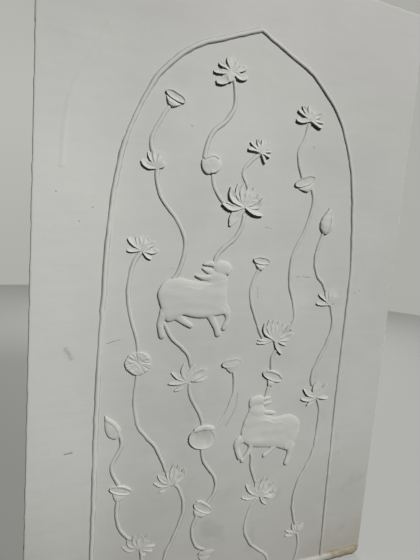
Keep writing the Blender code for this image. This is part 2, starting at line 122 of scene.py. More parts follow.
# Places are percent of the arch's width from its middle, and percent of its height from the bottom edge
# Each lotus: the place of its heart, whether its petals end round, and its petals from left to right
# Each petal in millimetres from the heart: its belly, its tip, its breadth, height and pressed hollow
LOTUSES = {
    "crown": ((-9.9, 92.8), True, (
        (-7, -16, -13, -31, 20, 8.5, 0.5), (-21, -27, -52, -40, 22, 9.0, 1.5),
        (-30, -7, -62, -12, 15, 8.5, 2.5), (-25, 8, -48, 13, 15, 8.5, 4.0),
        (-15, 18, -20, 36, 15, 9.0, 1.5), (-5, 20, -4, 42, 21, 6.5, 1.0), (10, 20, 18, 36, 15, 7.5, 2.0),
        (25, 11, 42, 18, 17, 7.0, 1.5), (21, -14, 46, -9, 17, 9.5, 1.5))),
    "left_half_open": ((-34.0, 76.7), True, (
        (-27, -1, -47, 13, 20, 7.0, 1.5), (-19, 20, -28, 37, 16, 6.0, 1.5), (-7, 22, -8, 43, 19, 7.0, 1.5),
        (5, 22, 12, 40, 17, 7.0, 1.5), (10, 4, 18, 12, 17, 7.0, 0.5))),
    "small": ((3.3, 81.2), True, (
        (-28, 4, -48, 2, 13, 10.0, 2.0), (-24, 14, -40, 25, 12, 8.0, 3.5), (-11, 18, -17, 37, 11, 7.0, 3.0),
        (2, 20, 4, 42, 15, 7.0, 1.5), (14, 14, 24, 30, 17, 6.0, 1.5), (18, 4, 33, 5, 10, 8.0, 2.5),
        (14, -6, 29, -13, 12, 10.5, 2.5), (6, -16, 14, -34, 11, 10.5, 1.5))),
    "right_top": ((22.4, 87.9), True, (
        (-28, -9, -54, -11, 17, 10.0, 1.5), (-28, 12, -50, 20, 15, 9.0, 1.5),
        (-20, 20, -34, 37, 16, 7.5, 4.0), (-6, 20, -6, 42, 19, 8.0, 1.5), (8, 18, 13, 38, 17, 7.0, 1.5),
        (24, 12, 40, 22, 15, 8.0, 4.0), (26, -1, 48, -3, 14, 9.0, 3.0), (24, -12, 43, -20, 19, 11.5, 1.5))),
    "heart": ((-1.4, 72.1), False, (
        (-31, -34, -47, -66, 32, 5.5, 1.5), (-45, -11, -79, -1, 20, 11.0, 1.5),
        (-34, 2, -62, 4, 13, 6.0, 1.0), (-44, 19, -53, 53, 24, 11.0, 2.0), (-26, 32, -29, 65, 19, 7.0, 1.5),
        (-12, 32, -10, 67, 22, 8.5, 1.5), (6, 32, 10, 66, 20, 8.0, 1.5), (19, 30, 27, 60, 18, 7.0, 1.5),
        (35, 20, 46, 40, 20, 6.0, 1.0), (20, 8, 36, 19, 14, 9.5, 1.0), (42, 2, 61, 30, 17, 7.0, 1.0),
        (28, -17, 61, -26, 20, 12.5, 1.5))),
    "left_middle": ((-37.4, 63.9), True, (
        (-26, -4, -46, -5, 13, 7.0, 1.5), (-25, 14, -44, 30, 17, 7.0, 1.5),
        (-14, 20, -18, 38, 14, 5.5, 1.5), (-3, 20, -5, 40, 15, 6.0, 1.5), (8, 20, 11, 38, 15, 6.0, 1.8),
        (21, 13, 34, 22, 15, 6.0, 1.5), (26, -6, 44, 0, 14, 7.0, 1.5), (10, -16, 26, -27, 13, 7.5, 1.5))),
    "right_half_open": ((40.5, 55.5), True, (
        (-32, -1, -61, 1, 15, 7.0, 1.5), (-30, 19, -53, 32, 15, 7.0, 1.5), (-15, 25, -19, 52, 24, 5.5, 0.8),
        (-1, 26, -3, 54, 26, 6.5, 0.8), (12, 24, 14, 46, 24, 6.0, 1.0), (20, 12, 28, 28, 19, 5.0, 0.8))),
    "middle": ((16.3, 48.9), False, (
        (-40, -10, -69, -14, 12, 6.5, 1.0), (-38, -2, -66, -3, 11, 5.0, 1.0),
        (-40, 26, -46, 54, 21, 9.0, 2.0), (-24, 32, -29, 65, 21, 6.5, 1.5), (-9, 34, -11, 67, 21, 6.0, 1.2),
        (6, 32, 9, 61, 20, 6.0, 1.2), (19, 28, 28, 53, 18, 6.5, 2.2), (34, 18, 49, 46, 21, 7.0, 2.6),
        (44, 2, 68, 17, 22, 6.0, 2.0), (24, -12, 43, -24, 15, 6.5, 1.0), (7, -27, 28, -55, 14, 8.5, 1.0))),
    "below_first_cow": ((-17.7, 42.1), False, (
        (-24, -20, -48, -33, 15, 6.0, 1.0), (-36, -5, -69, -8, 16, 7.0, 1.0),
        (-34, 12, -61, 28, 20, 5.5, 1.0), (-16, 25, -20, 55, 29, 6.0, 1.0), (8, 28, 11, 53, 24, 4.5, 0.8),
        (28, 18, 52, 32, 28, 8.5, 3.0), (34, 2, 58, 6, 18, 5.0, 1.5))),
    "right_lower": ((38.7, 37.1), False, (
        (-22, -18, -41, -31, 14, 6.5, 1.0), (-36, -8, -67, -6, 16, 8.0, 1.5),
        (-36, 12, -61, 31, 18, 8.5, 1.5), (-5, 30, -3, 56, 37, 6.5, 0.8), (23, 24, 39, 45, 23, 5.5, 1.5),
        (24, -4, 47, -8, 16, 8.5, 1.0))),
    "left_lower": ((-21.5, 23.5), False, (
        (-26, -16, -45, -24, 15, 5.0, 1.0), (-34, -1, -62, 10, 16, 5.0, 1.2),
        (-32, 16, -51, 34, 18, 5.0, 1.2), (-14, 30, -20, 54, 21, 5.5, 1.5), (-2, 32, 0, 67, 21, 6.0, 2.0),
        (12, 30, 17, 61, 19, 6.0, 2.2), (25, 20, 35, 45, 22, 7.5, 3.5))),
    "middle_lower": ((16.7, 18.3), False, (
        (-45, -3, -77, 0, 20, 5.0, 1.0), (-36, 20, -64, 46, 27, 5.5, 1.2), (-18, 28, -21, 60, 22, 4.5, 1.0),
        (0, 32, 7, 63, 24, 5.5, 1.6), (13, 30, 24, 60, 18, 6.0, 2.0), (28, 19, 51, 40, 23, 7.0, 3.0),
        (39, -4, 57, 11, 21, 6.0, 2.5), (34, -14, 61, -15, 16, 4.0, 1.0), (6, -20, 23, -41, 15, 5.5, 1.0))),
    "left_bottom": ((-31.9, 12.3), False, (
        (-38, 2, -61, 17, 16, 3.8, 1.0), (-36, 18, -47, 37, 16, 3.8, 1.0), (-20, 22, -26, 49, 18, 4.2, 1.0),
        (-3, 22, -5, 47, 26, 5.0, 1.6), (14, 22, 17, 41, 20, 5.0, 2.0), (22, 7, 44, -1, 18, 5.0, 1.4),
        (18, -10, 37, -18, 14, 4.5, 1.0), (2, -20, 16, -28, 10, 4.8, 0.8))),
    "right_bottom": ((35.9, 8.6), False, (
        (-26, -6, -49, -6, 14, 5.0, 1.0), (-28, 10, -49, 13, 16, 5.0, 1.2),
        (-14, 18, -24, 37, 16, 5.5, 1.2), (-4, 20, -4, 39, 18, 5.5, 1.2), (12, 19, 24, 31, 26, 7.0, 1.5))),
}

# Each seed pod: its place, then in mm from there the mouth's centre, half its length and breadth, and its
# tilt in degrees, the foot of the cup below it, half the foot's width and how full the cup starts, the
# heights of the rim, the pressed face, the cup's start and its foot, and the band along the rim, if any
PODS = {
    "top_left": ((-28.8, 87.5), (-3.5, -2, 31, 11.5, -21), (-17, -29, 7, 1.0), (7.0, 3.5, 3.2, 7.6), ()),
    "right": ((23.0, 77.5), (-2, -3, 39, 14.5, 23), (18, -30, 9, 1.0), (7.0, 3.8, 3.4, 7.4), ()),
    "centre": ((7.9, 63.1), (-3.5, -2, 30, 12, -6), (-5, -32, 5, 0.95), (6.8, 3.6, 3.2, 7.2), ()),
    "above_second_cow": ((17.1, 41.9), (-2, -2, 41, 15, -21), (-9, -35, 9, 0.45), (6.4, 3.2, 3.0, 5.4),
                         ((-26, 18), (0, 14.5), (18, 6), (33, -9))),
    "between_cows": ((-1.0, 44.8), (-3, -1, 34, 14, 9), (1, -33, 6, 0.85), (6.4, 5.0, 5.4, 4.6), ()),
    "left": ((-40.0, 24.0), (-4, -6, 36, 13, -17), (-12, -40, 7, 0.8), (5.6, 2.8, 3.2, 4.2),
             ((-18, 10), (0, 6), (15, -1), (27, -9))),
    "lower": ((-8.4, 18.1), (-1.5, -6.5, 37, 15, -31), (-13, -34, 18, 0.9), (5.4, 2.8, 2.6, 4.6),
              ((-26, 20), (-8, 17), (8, 5), (24, -9))),
    "bottom": ((-5.6, 9.2), (0, -10, 28, 7.5, -1), (-6, -40, 14, 1.1), (5.0, 4.7, 2.5, 3.0), ()),
}

# Each bud: its place, its direction, its length, breadth and height in mm, and how far to the left of its
# middle the edge of its outer petal runs, from foot to tip, as shares of half the breadth
BUDS = {
    "left": ((-44.8, 35.0), 118, (84, 43, 6.4), (-0.38, -0.42, -0.36, -0.10, 1.0)),
    "right": ((34.7, 70.9), 82, (88, 51, 12.9), (-0.30, -0.36, -0.43, -0.47, -0.52)),
}

# The folded leaf, in mm from its place: its outline, the oval that hides the stems under it, and the bands
# of clay on it, each with its width and its height as a share of the leaf's
FOLDED_LEAF = (-15.0, 78.4)
LEAF_OUTLINE = ((-30, 7), (-33, -8), (-28, -23), (-18, -33), (-8, -35), (3, -29), (14, -28), (24, -20),
                (31, -6), (28, 7), (18, 18), (4, 23), (-12, 19))
LEAF_ROUND = (-1, -8, 31, 26, 6)
LEAF_BANDS = ((((-27, 6), (-12, 15), (5, 20), (22, 12)), 9, 1.12),
              (((-27, -11), (-15, -5), (1, -6)), 8, 1.10),
              (((-4, -30), (13, -24), (25, -14)), 10, 1.35))

# The crumpled round leaf: its place, half its length and breadth in metres, its tilt and its folds
# Its rings: share of the size, share of the height, and how deep the grooves and the fine pleats are
ROSETTE = (-36.7, 45.5)
ROSETTE_SIZE = (0.040, 0.036)
ROSETTE_TILT = -8
ROSETTE_LOBES = 8
ROSETTE_RINGS = ((0.93, None, 0, 0), (0.97, 0.08, 0, 0), (1.0, 0.5, 0.04, 0), (0.985, 0.8, 0.10, 0),
                 (0.94, 0.95, 0.16, 0.02), (0.82, 1.0, 0.20, 0.07), (0.6, 0.98, 0.24, 0.11),
                 (0.4, 0.90, 0.22, 0.12), (0.25, 0.76, 0.14, 0.09), (0.12, 0.66, 0.06, 0.04))

# The dish, in mm from its place: its middle, half its length and breadth, its tilt, and the band behind it
# The heights of its rim, its pressed face and the band, and the band's widths, in metres
DISH = (-10.2, 31.8)
DISH_MOUTH = (-6, -11, 47, 36, -10)
DISH_BAND = ((-37, 17), (-12, 24), (10, 24), (34, 16))
DISH_HEIGHT = 0.0062
DISH_FACE = 0.0010
DISH_BAND_HEIGHT = 0.0068
DISH_BAND_WIDTHS = (0.014, 0.021, 0.021, 0.014)

# Each stem, through the middles of the forms it joins
STEMS = {
    "crown_to_leaf": ((-9.7, 92.6), (-8.0, 89.4), (-8.4, 87.1), (-11.0, 85.1), (-15.0, 83.3), (-17.0, 81.3),
                      (-17.8, 78.9)),
    "leaf_to_heart": ((-14.9, 77.5), (-13.2, 74.5), (-8.9, 72.2), (-2.5, 72.1)),
    "small_to_heart": ((3.2, 80.9), (-0.8, 79.2), (-2.9, 77.4), (-0.7, 75.1), (-1.2, 72.5)),
    "heart_to_cow": ((-1.1, 71.9), (-1.6, 69.0), (-4.2, 66.5), (-10.0, 63.9), (-11.5, 61.5)),
    "pod_to_left_lotus": ((-29.6, 87.0), (-34.3, 83.1), (-36.4, 80.3), (-34.3, 77.2)),
    "left_lotus_to_cow": ((-33.9, 76.7), (-33.7, 74.6), (-31.5, 71.8), (-26.2, 68.9), (-22.6, 65.3),
                          (-24.1, 60.9), (-28.0, 58.1)),
    "left_lotus_to_rosette": ((-37.3, 63.8), (-40.2, 61.4), (-41.4, 57.1), (-39.9, 52.8), (-37.4, 49.1),
                              (-36.9, 46.0)),
    "rosette_to_left_lower": ((-36.5, 45.0), (-37.3, 38.9), (-35.6, 34.8), (-32.5, 32.7), (-28.9, 30.7),
                              (-25.5, 27.5), (-22.8, 23.9)),
    "left_lower_to_edge": ((-21.4, 23.7), (-17.9, 21.5), (-16.4, 17.7), (-19.7, 12.8), (-22.7, 9.0),
                           (-24.0, 0.2)),
    "cow_to_lotus": ((-28.5, 52.2), (-25.4, 49.6), (-21.2, 47.8), (-18.1, 45.9), (-17.2, 42.7)),
    "lotus_to_dish": ((-17.5, 41.6), (-16.8, 39.2), (-12.9, 36.0), (-11.3, 34.0), (-11.0, 31.7)),
    "dish_to_lower_pod": ((-10.7, 30.7), (-10.2, 27.7), (-8.2, 25.8), (-4.2, 23.1), (-4.1, 20.4),
                          (-7.0, 18.2)),
    "lower_pod_to_bottom_pod": ((-9.5, 17.9), (-12.2, 13.7), (-10.3, 10.5), (-6.4, 9.2)),
    "bottom_pod_to_edge": ((-5.6, 9.0), (-6.4, 4.6), (-7.0, 0.2)),
    "pod_to_dish": ((-0.8, 44.6), (0.5, 41.6), (0.5, 39.1), (-2.6, 34.8), (-8.4, 31.6)),
    "right_top_to_pod": ((22.6, 87.7), (21.2, 84.7), (19.1, 82.3), (19.9, 80.0), (22.4, 77.2)),
    "pod_to_middle": ((25.4, 77.2), (27.7, 74.1), (25.5, 69.4), (21.3, 65.0), (20.5, 62.6), (20.8, 59.0),
                      (24.1, 53.7), (23.0, 50.4)),
    "centre_pod_to_middle": ((7.9, 62.8), (4.4, 58.6), (5.0, 55.4), (11.3, 48.9), (15.8, 48.7)),
    "middle_to_pod": ((16.2, 48.7), (17.5, 47.0), (15.9, 45.1), (16.8, 41.7)),
    "pod_to_second_cow": ((16.8, 41.7), (14.4, 37.4)),
    "right_bud_to_lotus": ((34.1, 69.4), (31.3, 64.4), (32.7, 61.0), (36.4, 59.0), (40.0, 55.8)),
    "right_lotus_to_lower": ((40.9, 55.4), (42.9, 51.4), (41.0, 47.7), (37.9, 44.6), (35.4, 41.0),
                             (38.1, 37.3)),
    "right_lower_to_bottom": ((39.1, 37.0), (41.2, 33.6), (40.2, 26.0), (36.9, 22.1), (34.1, 19.3),
                              (32.7, 14.8), (35.8, 8.9)),
    "right_bottom_to_edge": ((36.3, 8.6), (37.6, 6.0), (37.2, 3.6), (36.2, 1.4)),
    "cow_to_middle_lower": ((10.4, 29.2), (10.8, 26.0), (12.0, 23.0), (16.4, 18.6)),
    "middle_lower_to_edge": ((16.1, 18.1), (12.4, 15.8), (10.6, 12.0), (13.2, 8.8), (16.8, 7.0), (22.4, 4.5),
                             (24.0, 0.2)),
    "left_bud_to_pod": ((-42.0, 34.1), (-41.0, 31.5), (-43.9, 28.5), (-43.2, 26.4), (-40.2, 23.9)),
    "pod_to_left_bottom": ((-41.2, 23.5), (-41.5, 19.7), (-40.8, 17.6), (-38.9, 15.7), (-32.3, 12.4)),
    "left_bottom_to_edge": ((-31.9, 12.3), (-30.6, 6.5), (-31.4, 0.2)),
}

# Cow outlines and limbs, as percent of the cow's length from its middle
# Each limb: its points, its widths at even steps, and the height it stands out
FIRST_COW = {
    "place": (-18.1, 56.2),
    "height": COW_HEIGHT,
    "plump": 0.2,
    "torso": ((-50, 2), (-48, 14), (-42, 22), (-33, 26), (-21, 28), (-7, 25), (8, 24), (22, 26), (34, 36),
              (45, 30), (47, 14), (49, -4), (50, -20), (40, -23), (29, -25), (15, -27), (0, -26),
              (-14, -23), (-24, -29), (-36, -31), (-43, -17)),
    "limbs": (
        (((30, 8), (32, 26), (35, 40)), (38, 32, 28), 1.0),
        (((24, 42), (37, 42.5), (52, 40)), (16, 21, 20, 13), 1.0),
        (((42, 38), (50, 38)), (12, 15), 1.2),
        (((26, 47), (18, 47.5), (9, 46)), (8, 8, 6, 2), 0.85),
        (((27, 36), (17, 38), (8, 41)), (9, 9, 6, 2), 0.80),
        (((26, 29), (12, 28), (-1, 31)), (8, 10, 7, 2), 0.90),
        (((-36, -10), (-43.5, -31), (-42.5, -43), (-40, -55)), (18, 11, 9, 9), 0.85),
        (((-28, -20), (-12, -31), (1, -39)), (14, 10, 7), 0.85),
        (((20, -14), (31, -33), (36, -42), (40, -54)), (18, 11, 9, 10), 0.85),
        (((43, -8), (52, -27), (45.5, -45)), (16, 8, 8), 0.75),
    ),
}
SECOND_COW = {
    "place": (18.9, 31.0),
    "height": COW_HEIGHT * 0.95,
    "plump": 1.0,
    "torso": ((-52, 1), (-51, 12), (-47, 25), (-40, 36), (-21, 34), (-4, 24), (8, 23), (20, 25), (32, 24),
              (43, 18), (49, 8), (50, -4), (47, -16), (41, -26), (40, -36), (32, -36), (21, -32), (8, -27),
              (-8, -25), (-25, -23), (-39, -18), (-50, -9)),
    "limbs": (
        (((-27, 16), (-29, 36), (-27, 50)), (38, 29, 24), 1.02),
        (((-34, 42), (-20, 41)), (13, 15), 1.0),
        (((-18, 49), (-31, 50), (-43, 45.5)), (14, 19, 18, 15), 1.0),
        (((-36, 45), (-43, 45.5)), (12, 15), 1.2),
        (((-22, 52), (-7, 55)), (7, 6, 2), 0.9),
        (((-20, 44), (-4, 47)), (7, 7, 2), 0.85),
        (((-18, 32), (-8, 30.5), (4, 29)), (6, 8, 7, 2), 0.85),
        (((-46, -4), (-57, -15), (-50, -40)), (16, 9, 8), 0.9),
        (((-35, -8), (-34.5, -24), (-42, -38), (-49, -43)), (14, 8, 8, 8), 0.85),
        (((10, -20), (0, -32), (-12, -40)), (13, 8, 8), 0.75),
        (((37, -20), (35, -42), (30, -60)), (18, 10, 9), 0.95),
    ),
}

# Faint ridge in the ground outside the arch, in metres from the middle of the panel
OUTER_RIDGE_HALF_WIDTH = 0.011
OUTER_RIDGE = ((-0.433, 0.733), (-0.456, 0.687), (-0.508, 0.584), (-0.526, 0.530), (-0.534, 0.467),
               (-0.538, 0.367))

# Scratches, dark spots and a smear on the ground, in metres from the middle: start, end and half the width
SCRATCHES = (((-0.404, -0.114), (-0.368, -0.103), 0.0022), ((0.019, -0.294), (0.018, -0.335), 0.0018),
             ((0.018, -0.335), (0.008, -0.362), 0.0018), ((0.008, -0.362), (-0.014, -0.403), 0.0018),
             ((0.197, 0.095), (0.212, 0.095), 0.0016), ((0.222, 0.096), (0.251, 0.094), 0.0018),
             ((0.067, 0.249), (0.088, 0.245), 0.0016), ((0.059, 0.059), (0.062, 0.020), 0.0014))
SMUDGES = (((-0.196, 0.517), (-0.194, 0.515), 0.0028), ((0.214, 0.515), (0.216, 0.512), 0.0028),
           ((-0.230, 0.109), (-0.228, 0.108), 0.0026), ((0.455, -0.549), (0.456, -0.552), 0.0030),
           ((-0.508, -0.433), (-0.488, -0.431), 0.0040), ((-0.551, 0.298), (-0.550, 0.297), 0.0028),
           ((-0.491, 0.226), (-0.490, 0.225), 0.0028), ((-0.458, 0.265), (-0.457, 0.264), 0.0026),
           ((0.441, 0.046), (0.444, 0.045), 0.0026), ((0.462, 0.053), (0.467, 0.054), 0.0026))
SMEARS = (((-0.514, -0.126), (-0.498, -0.152), 0.011),)


def on_arch(across, up):
    """A place given as percent of the arch's width and height, as (x, z) in metres."""
    return np.array((across / 100 * 2 * ARCH_HALF, BOTTOM + up / 100 * ARCH_HEIGHT))


def beside(place, offset):
    """A place that lies some millimetres from a place on the arch."""
    return on_arch(*place) + np.array(offset) / MM_PER_M


def heading(degrees):
    """The direction at an angle from the viewer's right, turning upwards."""
    return np.array((math.cos(math.radians(degrees)), math.sin(math.radians(degrees))))


def round_turns(count):
    """Even angles all the way round, in radians."""
    return np.linspace(0, 2 * math.pi, count, endpoint=False)


def circle(turns):
    """The directions at some angles."""
    return np.stack((np.cos(turns), np.sin(turns)), axis=1)


def unit(directions):
    """Rows of directions, each made one long."""
    return directions / np.linalg.norm(directions, axis=1)[:, None]


def left_of(directions):
    """Directions turned a quarter to the left."""
    return np.stack((-directions[..., 1], directions[..., 0]), axis=-1)


def side_of(path):
    """The direction to the left of a path at each of its points."""
    return left_of(unit(np.gradient(path, axis=0)))


def along_shadows(directions):
    """How far directions point the way the shadows fall, from -1 to 1."""
    return directions @ SHADOW_FALL / np.linalg.norm(SHADOW_FALL)


def raised(flat, out):
    """Flat places (x, z) lifted out of the ground, as points in space."""
    flat = np.asarray(flat, float)
    out = np.broadcast_to(np.asarray(out, float), flat.shape[:-1])
    return np.stack((flat[..., 0], -(PANEL_THICKNESS + out), flat[..., 1]), axis=-1)


def smooth_step(low, high, value):
    """A soft step from 0 to 1 as the value goes from low to high."""
    t = np.clip((value - low) / (high - low), 0, 1)
    return t * t * (3 - 2 * t)


def rounding(distance, reach, least=0):
    """The height of a round edge at a distance from its rim, as a share."""
    return np.sqrt(np.clip(1 - (1 - np.minimum(distance / reach, 1)) ** 2, least, 1))


# Steps from knot to knot along a curve, before its points are spaced evenly
CURVE_STEPS = 16


def spline(knots, spacing, closed=False):
    """Points along a Catmull-Rom curve through the knots, their shares of its length, and the length."""
    knots = [np.asarray(knot, float) for knot in knots]
    count = len(knots)
    t = np.linspace(0, 1, CURVE_STEPS, endpoint=False)[:, None]
    pieces = []
    for index in range(count if closed else count - 1):
        start, end = knots[index], knots[(index + 1) % count]
        before = knots[index - 1] if closed or index else start * 2 - end
        after = knots[(index + 2) % count] if closed or index + 2 < count else end * 2 - start
        pieces.append((start * 2 + (end - before) * t + (before * 2 - start * 5 + end * 4 - after) * t ** 2
                       + (start * 3 - before - end * 3 + after) * t ** 3) / 2)
    pieces.append((knots[0] if closed else knots[-1])[None])
    points = np.concatenate(pieces)
    runs = np.concatenate(([0.0], np.cumsum(np.linalg.norm(np.diff(points, axis=0), axis=1))))
    steps = max(2, int(round(runs[-1] / spacing)))
    shares = np.linspace(0, 1, steps + 1)
    even = np.stack([np.interp(shares * runs[-1], runs, points[:, axis]) for axis in range(2)], axis=1)
    return (even[:-1], shares[:-1], runs[-1]) if closed else (even, shares, runs[-1])


# How many waves an unevenness is the sum of, and the sum that counts as 1
WAVES = 9
WAVE_SUM = 4.2


def wobble(points, wavelength, seed, stretch=1.0):
    """Smooth, repeatable unevenness between about -1 and 1."""
    rng = np.random.default_rng(seed)
    points = np.asarray(points, float) * np.asarray(stretch)
    total = np.zeros(points.shape[:-1])
    for _ in range(WAVES):
        way = rng.normal(size=points.shape[-1])
        way *= rng.uniform(0.6, 1.5) / (np.linalg.norm(way) * wavelength)
        total += np.sin(2 * math.pi * (points @ way) + rng.uniform(0, 2 * math.pi))
    return total / WAVE_SUM


def grid_faces(rows, columns, wrap):
    """Four-sided faces between rows of points."""
    row = np.arange(rows - 1)[:, None] * columns
    column = np.arange(columns if wrap else columns - 1)[None]
    after = (column + 1) % columns
    corners = (row + column, row + after, row + columns + after, row + columns + column)
    return np.stack(corners, axis=-1).reshape(-1, 4)


def ribs(path, side, across, wide):
    """Flat places beside a path, each at a share of half its width."""
    return path[:, None] + side[:, None] * (across[None, :, None] * wide[:, None, None])


def tube(rings):
    """A closed form through rings of points, each end closed by a fan."""
    rows, columns = rings.shape[:2]
    points = np.concatenate((rings.reshape(-1, 3), rings[0].mean(0)[None], rings[-1].mean(0)[None]))
    faces = [tuple(face) for face in grid_faces(rows, columns, True)]
    first, last = rows * columns, rows * columns + 1
    for index in range(columns):
        after = (index + 1) % columns
        faces.append((after, index, first))
        faces.append(((rows - 1) * columns + index, (rows - 1) * columns + after, last))
    return points, faces


def new_object(name, points, faces, smooth=True):
    """A mesh in the scene, from its points and faces."""
    mesh = bpy.data.meshes.new(name)
    mesh.from_pydata([tuple(point) for point in points], [], [tuple(int(i) for i in face) for face in faces])
    mesh.validate()
    mesh.update()
    if smooth:
        mesh.polygons.foreach_set("use_smooth", [True] * len(mesh.polygons))
    item = bpy.data.objects.new(name, mesh)
    bpy.context.scene.collection.objects.link(item)
    return item


def mark_crease_shade_and_dust(item, depth):
    """Store how deep each point lies in the crease at the foot of the relief, for painted shade and dust
    there.
    """
    points = np.zeros(len(item.data.vertices) * 3, np.float32)
    item.data.vertices.foreach_get("co", points)
    out = -points[1::3] - PANEL_THICKNESS
    crease_shade_and_dust = item.data.attributes.new("crease", "FLOAT", "POINT")
    crease_shade_and_dust.data.foreach_set("value", (1 - smooth_step(depth * 0.25, depth, out)).astype(np.float32))


def joined(parts):
    """Several (points, faces) as one."""
    points, faces, offset = [], [], 0
    for part_points, part_faces in parts:
        points.append(part_points)
        faces.extend(tuple(int(i) + offset for i in face) for face in part_faces)
        offset += len(part_points)
    return np.concatenate(points), faces


def outward(item):
    """Turn the faces to look outwards."""
    mesh = bmesh.new()
    mesh.from_mesh(item.data)
    bmesh.ops.recalc_face_normals(mesh, faces=mesh.faces[:])
    mesh.to_mesh(item.data)
    mesh.free()


def fused(name, parts, voxel, smoothing, keep, seed, unevenness=0.00025, wavelength=0.02, stretch=1.0):
    """Knead the parts into one lump: remeshed, smoothed, thinned, uneven, and cut off under the ground."""
    lump = new_object(name, *joined(parts))
    outward(lump)
    remesh = lump.modifiers.new("knead", "REMESH")
    remesh.mode = "VOXEL"
    remesh.voxel_size = voxel
    soften = lump.modifiers.new("soften", "SMOOTH")
    soften.factor = 0.5
    soften.iterations = smoothing
    if keep < 1:
        thin = lump.modifiers.new("thin", "DECIMATE")
        thin.ratio = keep
    graph = bpy.context.evaluated_depsgraph_get()
    mesh = bpy.data.meshes.new_from_object(lump.evaluated_get(graph))
    count = len(mesh.vertices)
    points = np.zeros(count * 3, np.float32)
    mesh.vertices.foreach_get("co", points)
    points = points.reshape(-1, 3).astype(float)
    faces = [tuple(polygon.vertices) for polygon in mesh.polygons]
    bpy.data.meshes.remove(mesh)
    bpy.data.objects.remove(lump, do_unlink=True)
    out = -points[:, 1] - PANEL_THICKNESS
    buried = out < -KEPT_UNDER
    faces = [face for face in faces if not all(buried[index] for index in face)]
    used = np.zeros(count, bool)
    for face in faces:
        used[list(face)] = True
    renumber = np.cumsum(used) - 1
    faces = [tuple(renumber[index] for index in face) for face in faces]
    points = points[used]
    spread = np.stack([wobble(points, wavelength, seed + axis, stretch) for axis in range(3)], axis=1)
    points += spread * unevenness
    points[:, 1] = np.maximum(points[:, 1], -(PANEL_THICKNESS + DEPTH_LIMIT))
    return new_object(name, points, faces)


# Cross-section of a coil of clay pressed on the ground: (share of half the width, share of the height)
COIL = np.array(((-1.18, -0.5), (-1.22, 0.01), (-1.02, 0.06), (-0.95, 0.20), (-0.87, 0.45), (-0.70, 0.72),
                 (-0.46, 0.91), (-0.16, 1.0), (0.16, 1.0), (0.46, 0.91), (0.70, 0.72), (0.87, 0.45),
                 (0.95, 0.20), (1.02, 0.06), (1.22, 0.01), (1.18, -0.5)))
# How far it reaches to either side, as a share of its width
COIL_REACH = 0.61


# How far beside a cup's foot it still hides a stem, in mm
CUP_MARGIN = 5


def tucked(path):
    """How much of a stem's height is left where it runs under a petal, a mouth or a cup."""
    left = np.ones(len(path))
    for place, _, petals in LOTUSES.values():
        away = path - on_arch(*place)
        for _, _, tip_x, tip_z, breadth, *_ in petals:
            tip = np.array((tip_x, tip_z)) / MM_PER_M
            reach = np.linalg.norm(tip)
            run = away @ tip / reach
            within = np.abs(away @ left_of(tip)) / reach < breadth / (2 * MM_PER_M)
            near = within * (run > 0) * (1 - smooth_step(0.70, 0.92, run / reach))
            left = np.minimum(left, 1 - near)
    mouths = [(DISH, DISH_MOUTH), (FOLDED_LEAF, LEAF_ROUND)]
    mouths += [(place, rim) for place, rim, *_ in PODS.values()]
    for place, (x, z, half_long, half_short, tilt) in mouths:
        away = (path - on_arch(*place)) * MM_PER_M - np.array((x, z))
        inside = np.hypot(away @ heading(tilt) / half_long, away @ left_of(heading(tilt)) / half_short)
        left = np.minimum(left, smooth_step(0.78, 0.98, inside))
    for place, (x, z, *_), (foot_x, foot_z, half_foot, _), *_ in PODS.values():
        away = (path - on_arch(*place)) * MM_PER_M - np.array((x, z))
        down = np.array((foot_x - x, foot_z - z))
        run = away @ down / (down @ down)
        within = np.abs(away @ left_of(down)) / np.linalg.norm(down) < half_foot + CUP_MARGIN
        left = np.minimum(left, 1 - within * (run > 0) * (1 - smooth_step(0.72, 1.0, run)))
    return left


def coil(knots, width, height, spacing, seed, uneven=0.07, under_petals=False, low_part=1.0):
    """A hand-rolled coil along a path, a little uneven in width and height."""
    path, shares, length = spline(knots, spacing)
    side = side_of(path)
    run = (shares * length)[:, None]
    wide = width / 2 * (1 + uneven * wobble(run, 0.045, seed))
    high = height * (1 + uneven * wobble(run, 0.06, seed + 1))
    if under_petals:
        free = tucked(path)
        high = high * (0.15 + 0.85 * free)
        wide = wide * (0.4 + 0.6 * free)
    high = high * (low_part + (1 - low_part) * smooth_step(-0.4, 0.45, path[:, 1]))
    sway = 0.0006 * wobble(run, 0.07, seed + 2)
    flat = path[:, None] + side[:, None] * (COIL[None, :, :1] * wide[:, None, None] + sway[:, None, None])
    return tube(raised(flat, COIL[None, :, 1] * high[:, None]))


def limb(points, widths, height):
    """A plump tapering form along a path, with rounded ends."""
    path, shares, length = spline(points, 0.003)
    wide = np.interp(shares, np.linspace(0, 1, len(widths)), widths) / 2
    high = np.full(len(path), height)
    for distance, reach in ((shares * length, wide[0]), ((1 - shares) * length, wide[-1])):
        round_off = rounding(distance, max(reach, 0.003), 0.02)
        wide = wide * round_off
        high = high * (0.35 + 0.65 * round_off)
    across, up = circle(round_turns(20)).T
    across = np.sign(across) * np.abs(across) ** 0.8
    lift = np.where(up > 0, np.abs(up) ** 0.8, -SUNK / height)
    return tube(raised(ribs(path, side_of(path), across, wide), lift[None] * high[:, None]))


def mound(centre, spokes, profile):
    """A form in rings round a centre, each a share of the spokes at its own height."""
    return tube(np.stack([raised(centre + spokes * share, out) for share, out in profile]))


def oval(half_long, half_short, tilt, sides):
    """Points round an oval, seen from its middle."""
    long_way = heading(tilt) * half_long
    short_way = left_of(heading(tilt)) * half_short
    turns = round_turns(sides)[:, None]
    return long_way * np.cos(turns) + short_way * np.sin(turns)


